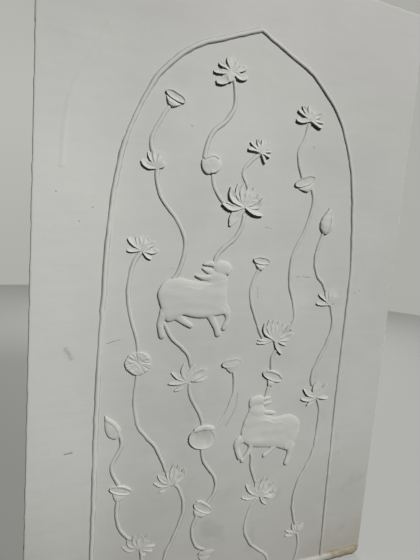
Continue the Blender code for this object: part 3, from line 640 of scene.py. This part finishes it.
# Petal forms: shares of the full breadth along the petal, and the depth of the pressed hollow along it
POINTED = (0.74, 0.82, 0.90, 0.97, 1.0, 0.95, 0.78, 0.50, 0.18)
ROUNDED = (0.78, 0.82, 0.88, 0.94, 0.98, 1.0, 0.95, 0.78, 0.40)
LEAF_HOLLOW = (0.0, 0.15, 0.50, 0.85, 1.0, 1.0, 0.85, 0.50, 0.15)
ROUND_HOLLOW = (0.0, 0.05, 0.15, 0.35, 0.70, 1.0, 1.0, 0.80, 0.25)
# Where a petal starts, how far it shifts with its height, how much lower an upright tip and a lit rim lie,
# how far its undercut foot reaches, and how far the heart does
BASE_REACH = 0.004
PETAL_SHIFT = np.array((0.32, 0.12))
TIP_DROP = 0.62
LIT_DROP = 0.42
FOOT_REACH = 0.92
MIDDLE_REACH = 0.70
# Rings of a lotus's heart: share of its reach, and of the petals' mean height
HEART_RINGS = ((0.93, 0.26), (0.80, 0.44), (0.5, 0.62), (0.15, 0.70))

# Half a petal's section, from its foot over the rim to the middle: shares of half the breadth and the height
RIM = ((0.60, 0.0), (0.68, 0.06), (0.95, 0.50), (1.0, 0.80), (0.94, 0.97), (0.82, 1.0), (0.42, 0.98),
       (0.0, 0.97))


def petal(heart, belly, tip, breadth, height, hollow, rounded, seed):
    """A hand-pinched petal: its shaded rim stands out over an undercut foot, its lit rim lies lower."""
    rng = np.random.default_rng(seed)
    belly, tip = heart + belly + height * PETAL_SHIFT, heart + tip + height * PETAL_SHIFT
    start = heart + (belly - heart) * BASE_REACH / np.linalg.norm(belly - heart)
    path, u, _ = spline((start, belly, tip), 0.0022)
    side = side_of(path)
    shade = along_shadows(side)
    outline, pressing = (ROUNDED, ROUND_HOLLOW) if rounded else (POINTED, LEAF_HOLLOW)
    steps = np.linspace(0, 1, len(outline))
    wide = breadth / 2 * np.interp(u, steps, outline)
    upright = math.exp(-((math.atan2(*(tip - heart)) + 0.02) / 0.62) ** 2)
    high = height * np.interp(u, (0, 0.2, 0.45, 0.75, 0.92, 1.0), (0.74, 0.86, 0.95, 1.0, 1.0, 0.92))
    high = high * (1 - TIP_DROP * upright * smooth_step(0.35, 1.0, u))
    press = hollow * np.interp(u, steps, pressing) * rng.uniform(0.85, 1.15)
    half = np.array(RIM)
    across = np.concatenate((-half[:, 0], half[-2::-1, 0]))
    share = np.concatenate((half[:, 1], half[-2::-1, 1]))
    tilt = 1 - LIT_DROP * (1 - across[None] * shade[:, None]) * np.abs(shade)[:, None]
    dip = np.interp(np.abs(across), (0, 0.42, 0.82), (1.0, 0.80, 0.0)) * (share >= 0.96)
    out = high[:, None] * share[None] * tilt - press[:, None] * dip[None]
    out = np.where((share == 0)[None], -SUNK, np.maximum(out, 0.0004))
    recede = (share < 0.3).astype(float)
    foot = heart + (path - heart) * FOOT_REACH
    base = path[:, None] * (1 - recede[None, :, None]) + foot[:, None] * recede[None, :, None]
    flat = base + side[:, None] * (across[None, :, None] * wide[:, None, None])
    return tube(raised(flat, out))


def lotus(name, place, rounded, petals, seed):
    """A lotus kneaded from its petals and heart."""
    heart = on_arch(*place)
    height = sum(petal_row[5] for petal_row in petals) / len(petals) / MM_PER_M
    turns = round_turns(72)
    reach = np.full(len(turns), HEART_RADIUS)
    for tip_x, tip_z in (petal_row[2:4] for petal_row in petals):
        off = np.angle(np.exp(1j * (turns - math.atan2(tip_z, tip_x))))
        length = math.hypot(tip_x, tip_z) / MM_PER_M
        reach = np.maximum(reach, length * MIDDLE_REACH * np.exp(-(off / 0.34) ** 2))
    rings = [(0.92, -SUNK), (1.0, 0.0005)] + [(share, height * rise) for share, rise in HEART_RINGS]
    parts = [mound(heart, circle(turns) * reach[:, None], rings)]
    for index, row in enumerate(petals):
        sizes = np.array(row) / MM_PER_M
        parts.append(petal(heart, sizes[:2], sizes[2:4], *sizes[4:], rounded, seed * 31 + index))
    return fused("lotus_" + name, parts, 0.0011, 2, 0.55, seed, unevenness=0.0003, wavelength=0.018)


# Width of the lip round a mouth
LIP = 0.0036


def mouth(centre, spokes, height, face, steep=0.8):
    """A low plate with a thin raised lip round a face that is pressed in like a bowl."""
    sunk = height - face
    reach = np.linalg.norm(spokes, axis=1)[:, None]
    rings = []
    for inset, out in ((0.0032, -SUNK), (0.0020, 0.0004), (0.0004, height * 0.45), (0.0, height * 0.78),
                       (0.0005, height * 0.95), (0.0015, height), (LIP * 0.75, height * 0.98),
                       (LIP * 1.1, height - sunk * steep * 0.7), (LIP * 1.5, height - sunk * steep)):
        rings.append(raised(centre + spokes * (1 - inset / reach), out))
    inner = spokes * (1 - LIP * 1.5 / reach)
    for share in (0.75, 0.5, 0.25, 0.08):
        rings.append(raised(centre + inner * share, height - sunk * (1 - (1 - steep) * share ** 2)))
    return tube(np.stack(rings))


def cup(centre, tilt, half_long, foot, half_foot, start, end, fullness):
    """The rounded body of a vessel, from its mouth to its foot."""
    t = np.linspace(0, 1, 14)
    down = (foot - centre) / np.linalg.norm(foot - centre)
    level, across_foot = heading(tilt), left_of(down)
    way = unit(level * (1 - t)[:, None] + across_foot * t[:, None])
    swell = half_long * 0.96 * fullness - half_foot
    wide = half_foot + swell * np.interp(t, (0, 0.25, 0.5, 0.75, 1), (1, 0.88, 0.66, 0.36, 0))
    high = np.interp(t, (0, 0.38, 0.7, 1), (start, start, end, end * 0.9))
    across = np.array((-0.88, -0.93, -1.0, -0.95, -0.80, -0.45, 0.0, 0.45, 0.80, 0.95, 1.0, 0.93, 0.88))
    share = np.array((0.0, 0.08, 0.45, 0.75, 0.92, 1.0, 1.03, 1.0, 0.92, 0.75, 0.45, 0.08, 0.0))
    middle = centre * (1 - t)[:, None] + foot * t[:, None]
    out = np.where((share == 0)[None], -SUNK, share[None] * high[:, None])
    return tube(raised(ribs(middle, way, across, wide), out))


def pod(name, place, rim, foot, heights, band, seed):
    """A seed pod: an oval mouth with a thin lip over a cup."""
    centre, bottom = beside(place, rim[:2]), beside(place, foot[:2])
    half_long, half_short, tilt = rim[2] / MM_PER_M, rim[3] / MM_PER_M, rim[4]
    half_foot, fullness = foot[2] / MM_PER_M, foot[3]
    high, face, cup_start, cup_end = (height / MM_PER_M for height in heights)
    parts = [mouth(centre, oval(half_long, half_short, tilt, 48), high, face),
             cup(centre, tilt, half_long, bottom, half_foot, cup_start, cup_end, fullness)]
    if band:
        parts.append(limb([beside(place, point) for point in band], POD_BAND_WIDTHS, high * 1.02))
    return fused("pod_" + name, parts, 0.0010, 2, 0.7, seed)


def bud(name, place, turn, sizes, edge, seed):
    """A closed bud with one outer petal folded round it."""
    length, breadth, height = (size / MM_PER_M for size in sizes)
    forward = heading(turn)
    middle = on_arch(*place)
    start, end = middle - forward * length / 2, middle + forward * length / 2
    shares = np.linspace(0, 1, 41)
    wide = breadth / 2 * np.interp(shares, (0, 0.06, 0.18, 0.36, 0.55, 0.75, 0.9, 1.0),
                                   (0.30, 0.58, 0.90, 1.0, 0.86, 0.52, 0.22, 0.05))
    high = height * np.interp(shares, (0, 0.1, 0.3, 0.6, 0.85, 1.0), (0.6, 0.85, 1.0, 0.88, 0.65, 0.4))
    across, up = circle(round_turns(72)).T
    fold = np.interp(shares, (0.0, 0.25, 0.5, 0.7, 0.88), edge)[:, None]
    step = np.tanh((fold - across[None]) / 0.05)
    crease = 0.95 + 0.11 * step - 0.06 * np.exp(-((across[None] - fold - 0.05) / 0.07) ** 2)
    lift = np.where(up[None] > 0, np.abs(up[None]) ** 0.55 * crease, -SUNK / height)
    path = start + (end - start) * shares[:, None]
    flat = ribs(path, left_of(forward)[None], across, wide)
    return fused("bud_" + name, [tube(raised(flat, lift * high[:, None]))], 0.0009, 1, 0.7, seed)


# Rings of a cushion of clay, from its foot to its top: the inset on its shaded side, how much more that is
# where it is plump, the inset on its lit side, and the share of the height
CUSHION = ((0.003, 0.0, 0.002, -0.50), (0.0015, 0.0, 0.001, 0.04), (0.0, 0.0, 0.0, 0.30),
           (0.0006, 0.001, 0.004, 0.58), (0.002, 0.006, 0.011, 0.82), (0.006, 0.014, 0.022, 0.96),
           (0.014, 0.022, 0.034, 1.02))


def cushion(centre, knots, height, softness=1.0, plump=0.0):
    """A flat-topped form with a free outline, steep on its shaded side and soft on its lit side."""
    outline, _, _ = spline(knots, 0.003, closed=True)
    along = np.roll(outline, -1, axis=0) - np.roll(outline, 1, axis=0)
    outwards = left_of(unit(along))
    outwards *= np.sign((outwards * outline).sum())
    lit = smooth_step(-0.3, 0.5, along_shadows(-outwards))[:, None]
    table = np.array(CUSHION)
    steps = np.linspace(0, len(table) - 1, 4 * len(table))
    table = np.stack([np.interp(steps, np.arange(len(table)), column) for column in table.T], axis=1)
    for _ in range(3):
        table[1:-1] = (table[:-2] + 2 * table[1:-1] + table[2:]) / 4
    rings = []
    for shaded_inset, more, lit_inset, share in table:
        inset = ((shaded_inset + more * plump) * (1 - lit) + lit_inset * lit) * softness
        rings.append(raised(centre + outline - outwards * inset, share * height))
    for share, rise in ((0.45, 1.07), (0.30, 1.11), (0.12, 1.13)):
        lean = SHADOW_FALL * 0.018 * softness * (1 - share)
        rings.append(raised(centre + outline * share - lean, height * rise))
    return tube(np.stack(rings))


def folded_leaf(seed):
    """A round leaf, its back edge standing up as a band with softer folds before it."""
    outline = [np.array(point) / MM_PER_M for point in LEAF_OUTLINE]
    parts = [cushion(on_arch(*FOLDED_LEAF), outline, LEAF_HEIGHT * 0.95, 0.4)]
    for points, width, share in LEAF_BANDS:
        widths = (width * 0.0008, width / MM_PER_M, width * 0.0006)
        parts.append(limb([beside(FOLDED_LEAF, point) for point in points], widths, LEAF_HEIGHT * share))
    return fused("folded_leaf", parts, 0.0010, 3, 0.8, seed)


def rosette(seed):
    """A round leaf with soft, crumpled radial folds and a scalloped edge."""
    turns = round_turns(128)
    uneven = turns + 0.16 * np.sin(turns * 2 + 0.8) + 0.10 * np.sin(turns * 3 + 2.0)
    wave = np.cos(uneven * ROSETTE_LOBES)
    fine = np.cos(uneven * (ROSETTE_LOBES * 2 + 3) + 1.0)
    scallops = 1 - 0.012 * (1 - wave) - 0.02 * np.sin(uneven * 5)
    spokes = oval(*ROSETTE_SIZE, ROSETTE_TILT, len(turns)) * scallops[:, None]
    rings = []
    for share, out, groove, pleat in ROSETTE_RINGS:
        centre = on_arch(*ROSETTE) + np.array((0.0, 0.003 * (1 - share)))
        spots = centre + spokes * share
        notch = groove * np.clip(-wave, 0, 1) ** 1.5 + pleat * fine * (1 + wobble(spots, 0.03, seed))
        rings.append(raised(spots, -SUNK if out is None else out * LEAF_HEIGHT * 0.9 * (1 - notch)))
    lump = [tube(np.stack(rings))]
    return fused("rosette", lump, 0.0010, 1, 1.0, seed, unevenness=0.0006, wavelength=0.016)


def dish(seed):
    """A big round dish, pressed in like a bowl, with a wide band of clay standing up behind it."""
    x, z, half_long, half_short, tilt = DISH_MOUTH
    opening = oval(half_long / MM_PER_M, half_short / MM_PER_M, tilt, 72)
    band = [beside(DISH, point) for point in DISH_BAND]
    parts = [mouth(beside(DISH, (x, z)), opening, DISH_HEIGHT, DISH_FACE, steep=0.30),
             limb(band, DISH_BAND_WIDTHS, DISH_BAND_HEIGHT)]
    return fused("dish", parts, 0.0011, 3, 0.8, seed, unevenness=0.0005, wavelength=0.03)


def cow(name, sheet, seed):
    """A cow in low relief, kneaded from its body, neck, head, ears and legs."""
    centre = on_arch(*sheet["place"])
    scale = COW_LENGTH / 100
    high = sheet["height"]
    torso = [np.array(point) * scale for point in sheet["torso"]]
    parts = [cushion(centre, torso, high, plump=sheet["plump"])]
    for points, widths, height in sheet["limbs"]:
        path = [centre + np.array(point) * scale for point in points]
        parts.append(limb(path, [width * scale for width in widths], height * high))
    return fused("cow_" + name, parts, 0.0014, 5, 0.55, seed, unevenness=0.0006, wavelength=0.05,
                 stretch=(0.35, 1, 1.5))


def arch_points():
    """The path of the raised line, up the left leg, over the point and down the right leg."""
    top = BOTTOM + ARCH_HEIGHT
    right = [np.array((out / 100 * ARCH_HALF, top - drop / 100 * SHOULDER_DROP)) for out, drop in SHOULDER]
    lower = [np.array((ARCH_HALF, height)) for height in (-0.2, -0.5, -0.8, BOTTOM + EDGE_GAP)]
    right_path, _, _ = spline(right + lower, 0.004)
    outwards = side_of(right_path)
    up = (right_path[:, 1] - BOTTOM) / ARCH_HEIGHT * 100
    sides = []
    for stray in (LEFT_STRAY, RIGHT_STRAY):
        heights, distances = zip(*stray)
        sides.append(right_path + outwards * np.interp(up, heights, distances)[:, None] / MM_PER_M)
    left_path = sides[0][::-1] * np.array((-1, 1))
    return np.concatenate((left_path[:-1], (left_path[-1:] + sides[1][:1]) / 2, sides[1][1:]))


def at_edge(value, half, reach):
    """Which way out the nearer edge is, or 0 where it is further than the reach."""
    return np.sign(value) * (half - np.abs(value) < reach)


def ground_mesh():
    """The slab: a finely divided, slightly uneven face, rounded edges, sides and a flat back."""
    right, top = PANEL_WIDTH / 2, PANEL_HEIGHT / 2
    close = np.array((0, 0.0008, 0.002, 0.004, 0.007))

    def lines(half):
        """Grid lines across the slab, closer together at its edges."""
        inner = half - close[-1]
        even = np.linspace(-inner, inner, int(round(2 * inner / GROUND_SPACING)) + 1)
        return np.concatenate((-half + close[:-1], even, half - close[:-1][::-1]))

    x, z = np.meshgrid(lines(right), lines(top), indexing="ij")
    border = np.minimum(right - np.abs(x), top - np.abs(z))
    spots = np.stack((x, z), axis=-1)
    uneven = sum(depth * wobble(spots, wavelength, seed) for depth, wavelength, seed in SLAB_WAVES)
    round_off = RIM_DROP * (1 - rounding(border, RIM_REACH))
    out = uneven * smooth_step(0.0, 0.03, border) - round_off
    corner = np.array((right - WORN_CORNER, -top + WORN_CORNER))
    beyond = (x > corner[0]) & (z < corner[1])
    reach = spots - corner
    length = np.linalg.norm(reach, axis=-1)
    side_reach = np.maximum(np.abs(reach[..., 0]), np.abs(reach[..., 1]))
    squeeze = np.where(beyond & (length > 0), side_reach / np.maximum(length, 1e-9), 1.0)
    spots = np.where(beyond[..., None], corner + reach * squeeze[..., None], spots)
    nibble = 0.0009 * (1 + wobble(spots, 0.05, 9)) * (1 - smooth_step(0.0, 0.004, border))
    inward = -np.stack((at_edge(x, right, 0.004), at_edge(z, top, 0.004)), axis=-1)
    wear = inward * np.clip(nibble, 0, 0.002)[..., None]
    off_corners = np.abs(np.abs(z) - top) + np.abs(np.abs(x) - right) > CORNER_KEPT
    spots = spots + wear * off_corners[..., None]
    front = raised(spots, out)
    rows, columns = front.shape[:2]
    points = front.reshape(-1, 3)
    faces = [tuple(face) for face in grid_faces(rows, columns, False)]
    grid = np.arange(rows * columns).reshape(rows, columns)
    loop = np.concatenate((grid[:, 0], grid[-1, 1:], grid[-2::-1, -1], grid[0, -2:0:-1])).tolist()
    edge = points[loop]
    layers = [loop]
    across, up = at_edge(edge[:, 0], right, 0.003), at_edge(edge[:, 2], top, 0.003)
    away = np.stack((across, np.zeros(len(edge)), up), axis=1)
    for share, depth, bevel in EDGE_LAYERS:
        layer = edge.copy()
        layer[:, 1] = edge[:, 1] * (1 - share)
        wear = np.abs(depth * wobble(layer, 0.04, 12)[:, None])
        layer = layer - away * (wear + bevel)
        layers.append(list(range(len(points), len(points) + len(layer))))
        points = np.concatenate((points, layer))
    for near, far in zip(layers, layers[1:]):
        for index in range(len(near)):
            after = (index + 1) % len(near)
            faces.append((near[index], far[index], far[after], near[after]))
    faces.append(tuple(layers[-1]))
    item = new_object("clay_ground", points, faces)
    outward(item)
    item.data.polygons[len(faces) - 1].use_smooth = False
    return item


def clay_material():
    """Whitewashed clay: chalky, slightly mottled, dirtier and warmer towards the bottom edge, with painted
    light and shade in its colour.
    """
    material = bpy.data.materials.new("whitewashed_clay")
    material.use_nodes = True
    tree = material.node_tree

    def add_node(kind, entries, **settings):
        """A new node, each of its entries linked to an output or set to a value."""
        node = tree.nodes.new(kind)
        for key, value in settings.items():
            setattr(node, key, value)
        for key, value in entries.items():
            if isinstance(value, bpy.types.NodeSocket):
                tree.links.new(value, node.inputs[key])
            else:
                node.inputs[key].default_value = value
        return node

    place = add_node("ShaderNodeTexCoord", {}).outputs["Object"]
    split = add_node("ShaderNodeSeparateXYZ", {0: place}).outputs

    def noise(scale, detail=3.0, rough=0.55, spots=place):
        entries = {"Vector": spots, "Scale": scale, "Detail": detail, "Roughness": rough}
        return add_node("ShaderNodeTexNoise", entries).outputs["Fac"]

    def remap(value, low, high, to_low=0.0, to_high=1.0):
        """A soft step as the value goes from low to high."""
        entries = {"Value": value, "From Min": low, "From Max": high, "To Min": to_low, "To Max": to_high}
        node = add_node("ShaderNodeMapRange", entries, clamp=True, interpolation_type="SMOOTHSTEP")
        return node.outputs["Result"]

    def across(low, high):
        return remap(split["X"], low, high)

    def outwards(low, high, *ends):
        return remap(split["Y"], -PANEL_THICKNESS - low, -PANEL_THICKNESS - high, *ends)

    def up(low, high, *ends):
        return remap(split["Z"], low, high, *ends)

    def compute(operation, first, second, **settings):
        return add_node("ShaderNodeMath", {0: first, 1: second}, operation=operation, **settings).outputs[0]

    def times(first, second):
        return compute("MULTIPLY", first, second)

    def vector(operation, first, second):
        node = add_node("ShaderNodeVectorMath", {0: first, 1: second}, operation=operation)
        return node.outputs["Value" if operation in ("DOT_PRODUCT", "LENGTH") else "Vector"]

    def tint(base, coat, amount):
        entries = {"Factor": amount, "A": base, "B": coat}
        return add_node("ShaderNodeMix", entries, data_type="RGBA", blend_type="MIX").outputs["Result"]

    def bump(height, strength, distance, **under):
        entries = {"Strength": strength, "Distance": distance, "Height": height, **under}
        return add_node("ShaderNodeBump", entries).outputs["Normal"]

    flat = vector("MULTIPLY", place, (1.0, 0.0, 1.0))
    ragged = times(compute("SUBTRACT", noise(150.0, 2.0), 0.5), 0.004)

    def stroke(start, end, half_width):
        """How deep a place lies in a stroke across the ground, from 0 to 1."""
        run = (end[0] - start[0], 0.0, end[1] - start[1])
        away = vector("SUBTRACT", flat, (start[0], 0.0, start[1]))
        squared = run[0] ** 2 + run[2] ** 2
        share = compute("MULTIPLY", vector("DOT_PRODUCT", away, run), 1 / squared, use_clamp=True)
        along = add_node("ShaderNodeVectorMath", {0: run, "Scale": share}, operation="SCALE")
        gap = vector("LENGTH", vector("SUBTRACT", away, along.outputs["Vector"]), (0.0, 0.0, 0.0))
        return remap(compute("ADD", gap, ragged), half_width, 0.0)

    def all_strokes(strokes):
        total = stroke(*strokes[0])
        for row in strokes[1:]:
            total = compute("MAXIMUM", total, stroke(*row))
        return total

    scratched = all_strokes(SCRATCHES)
    smeared = times(all_strokes(SMEARS), remap(noise(60.0), 0.35, 0.65))
    soiled = times(times(up(-0.42, -1.02), outwards(0.0008, 0.0035, 1.0, 0.35)),
                   remap(noise(3.4), 0.2, 0.8, 0.45, 1.0))
    # Painted highlight: raised relief lighter, more so towards the bottom, partly also a cleaner whitewash
    whiter_heights_and_highlight = times(outwards(0.0015, 0.0045), up(0.0, -0.7, 0.10, 0.55))
    # Painted shade in the creases at the foot of the relief, partly also dust
    crease = add_node("ShaderNodeAttribute", {}, attribute_name="crease").outputs["Fac"]
    stained = times(times(up(-0.80, -0.97), across(0.25, 0.50)),
                    remap(noise(9.0, 4.0), 0.30, 0.65, 0.35, 1.0))
    rough_edge = compute("ADD", split["Z"], times(noise(24.0, 4.0), 0.030))
    bare = times(remap(rough_edge, -0.936, -0.954), across(0.44, 0.49))

    # Each coat over the chalk, painted light and shade among them: its colour, how strong it is, and where
    # it lies
    coats_and_painted_light = (
        ((0.470, 0.474, 0.462), 1.0, remap(noise(2.6, 2.0), 0.35, 0.68)),
        ((0.520, 0.527, 0.512), 0.5, remap(noise(7.0), 0.45, 0.75)),
        # Painted light and shade for the light's falloff: the left side is lighter in its middle, and both
        # top corners are darker
        ((0.60, 0.61, 0.59), 0.62, times(across(-0.22, -0.53), up(0.80, 0.35))),
        ((0.33, 0.325, 0.32), 0.50, times(across(0.0, -0.50), up(0.68, 0.98))),
        ((0.36, 0.36, 0.35), 0.58, times(across(-0.15, 0.55), up(-0.3, 0.8, 0.30, 1.0))),
        # Soil on the ground towards the bottom, a greyer top, raised relief painted lighter towards the
        # bottom as painted highlight and partly cleaner whitewash, smudges, and painted shade with some dust
        # in creases
        ((0.390, 0.372, 0.330), 0.62, soiled),
        ((0.425, 0.415, 0.41), 0.6, up(0.35, 1.05)),
        ((0.60, 0.60, 0.575), 1.0, times(whiter_heights_and_highlight, remap(noise(30.0, 2.0), 0.3, 0.7, 0.5, 1.0))),
        ((0.34, 0.34, 0.315), 0.28, times(remap(noise(11.0, 2.0, 0.4), 0.62, 0.74), up(0.1, -0.8))),
        ((0.18, 0.175, 0.16), 0.55, times(crease, remap(noise(38.0, 2.0), 0.25, 0.7, 0.45, 0.95))),
        # Marks on the ground
        ((0.30, 0.295, 0.27), 0.45, scratched),
        ((0.20, 0.20, 0.185), 0.75, all_strokes(SMUDGES)),
        ((0.26, 0.26, 0.24), 0.5, smeared),
        # Stains and bare clay in the lower right corner, and a darker patch at the foot of the left side
        ((0.36, 0.335, 0.265), 0.50, stained),
        ((0.33, 0.285, 0.205), 1.0, times(bare, remap(noise(55.0, 4.0), 0.3, 0.6, 0.45, 0.95))),
        ((0.30, 0.28, 0.235), 0.35, times(up(-0.55, -0.98), across(-0.48, -0.60))),
    )
    colour = (*CHALK, 1)
    for coat, strength, amount in coats_and_painted_light:
        colour = tint(colour, (*coat, 1), times(amount, strength))

    # Fine grain over broad trowelling over scratches, the faint ridge and chipped clay
    stretched = add_node("ShaderNodeMapping", {"Vector": place, "Scale": (0.45, 1.0, 1.6)}).outputs["Vector"]
    normal = bump(noise(420.0, 3.0, 0.6), 0.22, 0.0006)
    normal = bump(noise(26.0, 3.0, 0.5, stretched), 0.25, 0.0022, Normal=normal)
    ridge_rows = [(start, end, OUTER_RIDGE_HALF_WIDTH) for start, end in zip(OUTER_RIDGE, OUTER_RIDGE[1:])]
    marks = compute("SUBTRACT", times(all_strokes(ridge_rows), 0.7), scratched)
    marks = compute("ADD", marks, times(bare, times(noise(110.0, 5.0, 0.7), 4.0)))
    normal = bump(marks, 1.0, 0.0009, Normal=normal)

    shader = tree.nodes["Principled BSDF"]
    shader.inputs["Roughness"].default_value = 0.78
    shader.inputs["Specular IOR Level"].default_value = 0.28
    tree.links.new(colour, shader.inputs["Base Color"])
    tree.links.new(normal, shader.inputs["Normal"])
    return material


def glowing_material(name, colour, glow, roughness):
    """A plain material that also glows."""
    material = bpy.data.materials.new(name)
    material.use_nodes = True
    shader = material.node_tree.nodes["Principled BSDF"]
    shader.inputs["Base Color"].default_value = (*colour, 1)
    shader.inputs["Emission Color"].default_value = (*glow, 1)
    shader.inputs["Emission Strength"].default_value = 1.0
    shader.inputs["Roughness"].default_value = roughness
    return material


def build_relief():
    """Every piece of the mural: the slab, the raised lines, and the forms modelled on them."""
    pieces = [ground_mesh()]
    arch = coil(arch_points(), LINE_WIDTH, LINE_HEIGHT, 0.004, 41, uneven=0.06, low_part=0.66)
    pieces.append(new_object("arch_line", *arch))
    stems = [coil([on_arch(*place) for place in places], STEM_WIDTH, STEM_HEIGHT, 0.0035, 60 + index * 3,
                  under_petals=True)
             for index, places in enumerate(STEMS.values())]
    pieces.append(new_object("stems", *joined(stems)))
    lip_end = PANEL_WIDTH / 2 - WORN_CORNER
    level = BOTTOM + LIP_WIDTH * COIL_REACH + EDGE_GAP
    lip = coil(((-lip_end, level), (0.0, level), (lip_end, level)), LIP_WIDTH, LIP_HEIGHT, 0.005, 44)
    pieces.append(new_object("bottom_lip", *lip))
    for item in pieces[1:]:
        for point in item.data.vertices:
            point.co.z = max(point.co.z, BOTTOM)
        outward(item)
    for make, sheets, seed in ((lotus, LOTUSES, 100), (pod, PODS, 200), (bud, BUDS, 220)):
        for index, (name, sheet) in enumerate(sheets.items()):
            pieces.append(make(name, *sheet, seed + index))
    pieces += [dish(230), folded_leaf(231), rosette(232)]
    pieces += [cow("first", FIRST_COW, 240), cow("second", SECOND_COW, 250)]
    return pieces


def place_camera():
    """The photograph's viewpoint: left of the middle, looking right and a little down, slightly rolled."""
    camera = bpy.data.objects.new("camera", bpy.data.cameras.new("camera"))
    bpy.context.scene.collection.objects.link(camera)
    camera.data.lens = LENS
    camera.data.sensor_width = SENSOR_WIDTH
    look = Vector(LOOK).normalized()
    right = look.cross(Vector(UPWARDS)).normalized()
    up = right.cross(look)
    turn = Matrix((right, up, -look)).transposed().to_4x4()
    camera.matrix_world = Matrix.Translation(EYE) @ turn
    bpy.context.scene.camera = camera


def area_light(name, spot, target, size, power, colour):
    """A round light that points at its target."""
    light = bpy.data.lights.new(name, "AREA")
    light.shape = "DISK"
    light.size = size
    light.energy = power
    light.color = colour
    item = bpy.data.objects.new(name, light)
    bpy.context.scene.collection.objects.link(item)
    item.location = spot
    item.rotation_mode = "QUATERNION"
    item.rotation_quaternion = (Vector(spot) - Vector(target)).to_track_quat("Z", "Y")


def light_scene():
    """The lights, a faint sky, and how light turns into the picture's tones."""
    for light in LIGHTS:
        area_light(*light)
    world = bpy.data.worlds.new("studio")
    bpy.context.scene.world = world
    world.use_nodes = True
    background = world.node_tree.nodes["Background"]
    background.inputs["Color"].default_value = SKY_COLOUR
    background.inputs["Strength"].default_value = SKY_STRENGTH
    bpy.context.scene.view_settings.view_transform = "Standard"
    bpy.context.scene.view_settings.look = "None"
    bpy.context.scene.view_settings.gamma = 0.85


def stage_set():
    """A pale floor and a pale wall all round at a distance, which aren't part of the mural."""
    ring = circle(round_turns(STAGE_SIDES)) * STAGE_RADIUS
    floor_level = BOTTOM - FLOOR_GAP
    low = np.concatenate((ring, np.full((STAGE_SIDES, 1), floor_level)), axis=1)
    high = np.concatenate((ring, np.full((STAGE_SIDES, 1), floor_level + STAGE_HEIGHT)), axis=1)
    floor = new_object("floor", low, [tuple(range(STAGE_SIDES))], smooth=False)
    floor.data.materials.append(glowing_material("pale_floor", FLOOR_COLOUR, FLOOR_GLOW, 0.8))
    wall = new_object("surround", np.concatenate((low, high)), grid_faces(2, STAGE_SIDES, True))
    wall.data.materials.append(glowing_material("pale_surround", (0.0, 0.0, 0.0), WALL_GLOW, 0.5))
    wall.visible_shadow = False
    for item in (floor, wall):
        item.visible_diffuse = False


relief = build_relief()
clay = clay_material()
for piece in relief:
    if piece.name not in ("clay_ground", "bottom_lip"):
        mark_crease_shade_and_dust(piece, CREASE_SHADE_DEPTH)
    piece.data.materials.append(clay)
    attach(piece, "root")
    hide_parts("relief_panel")
place_camera()
light_scene()
stage_set()
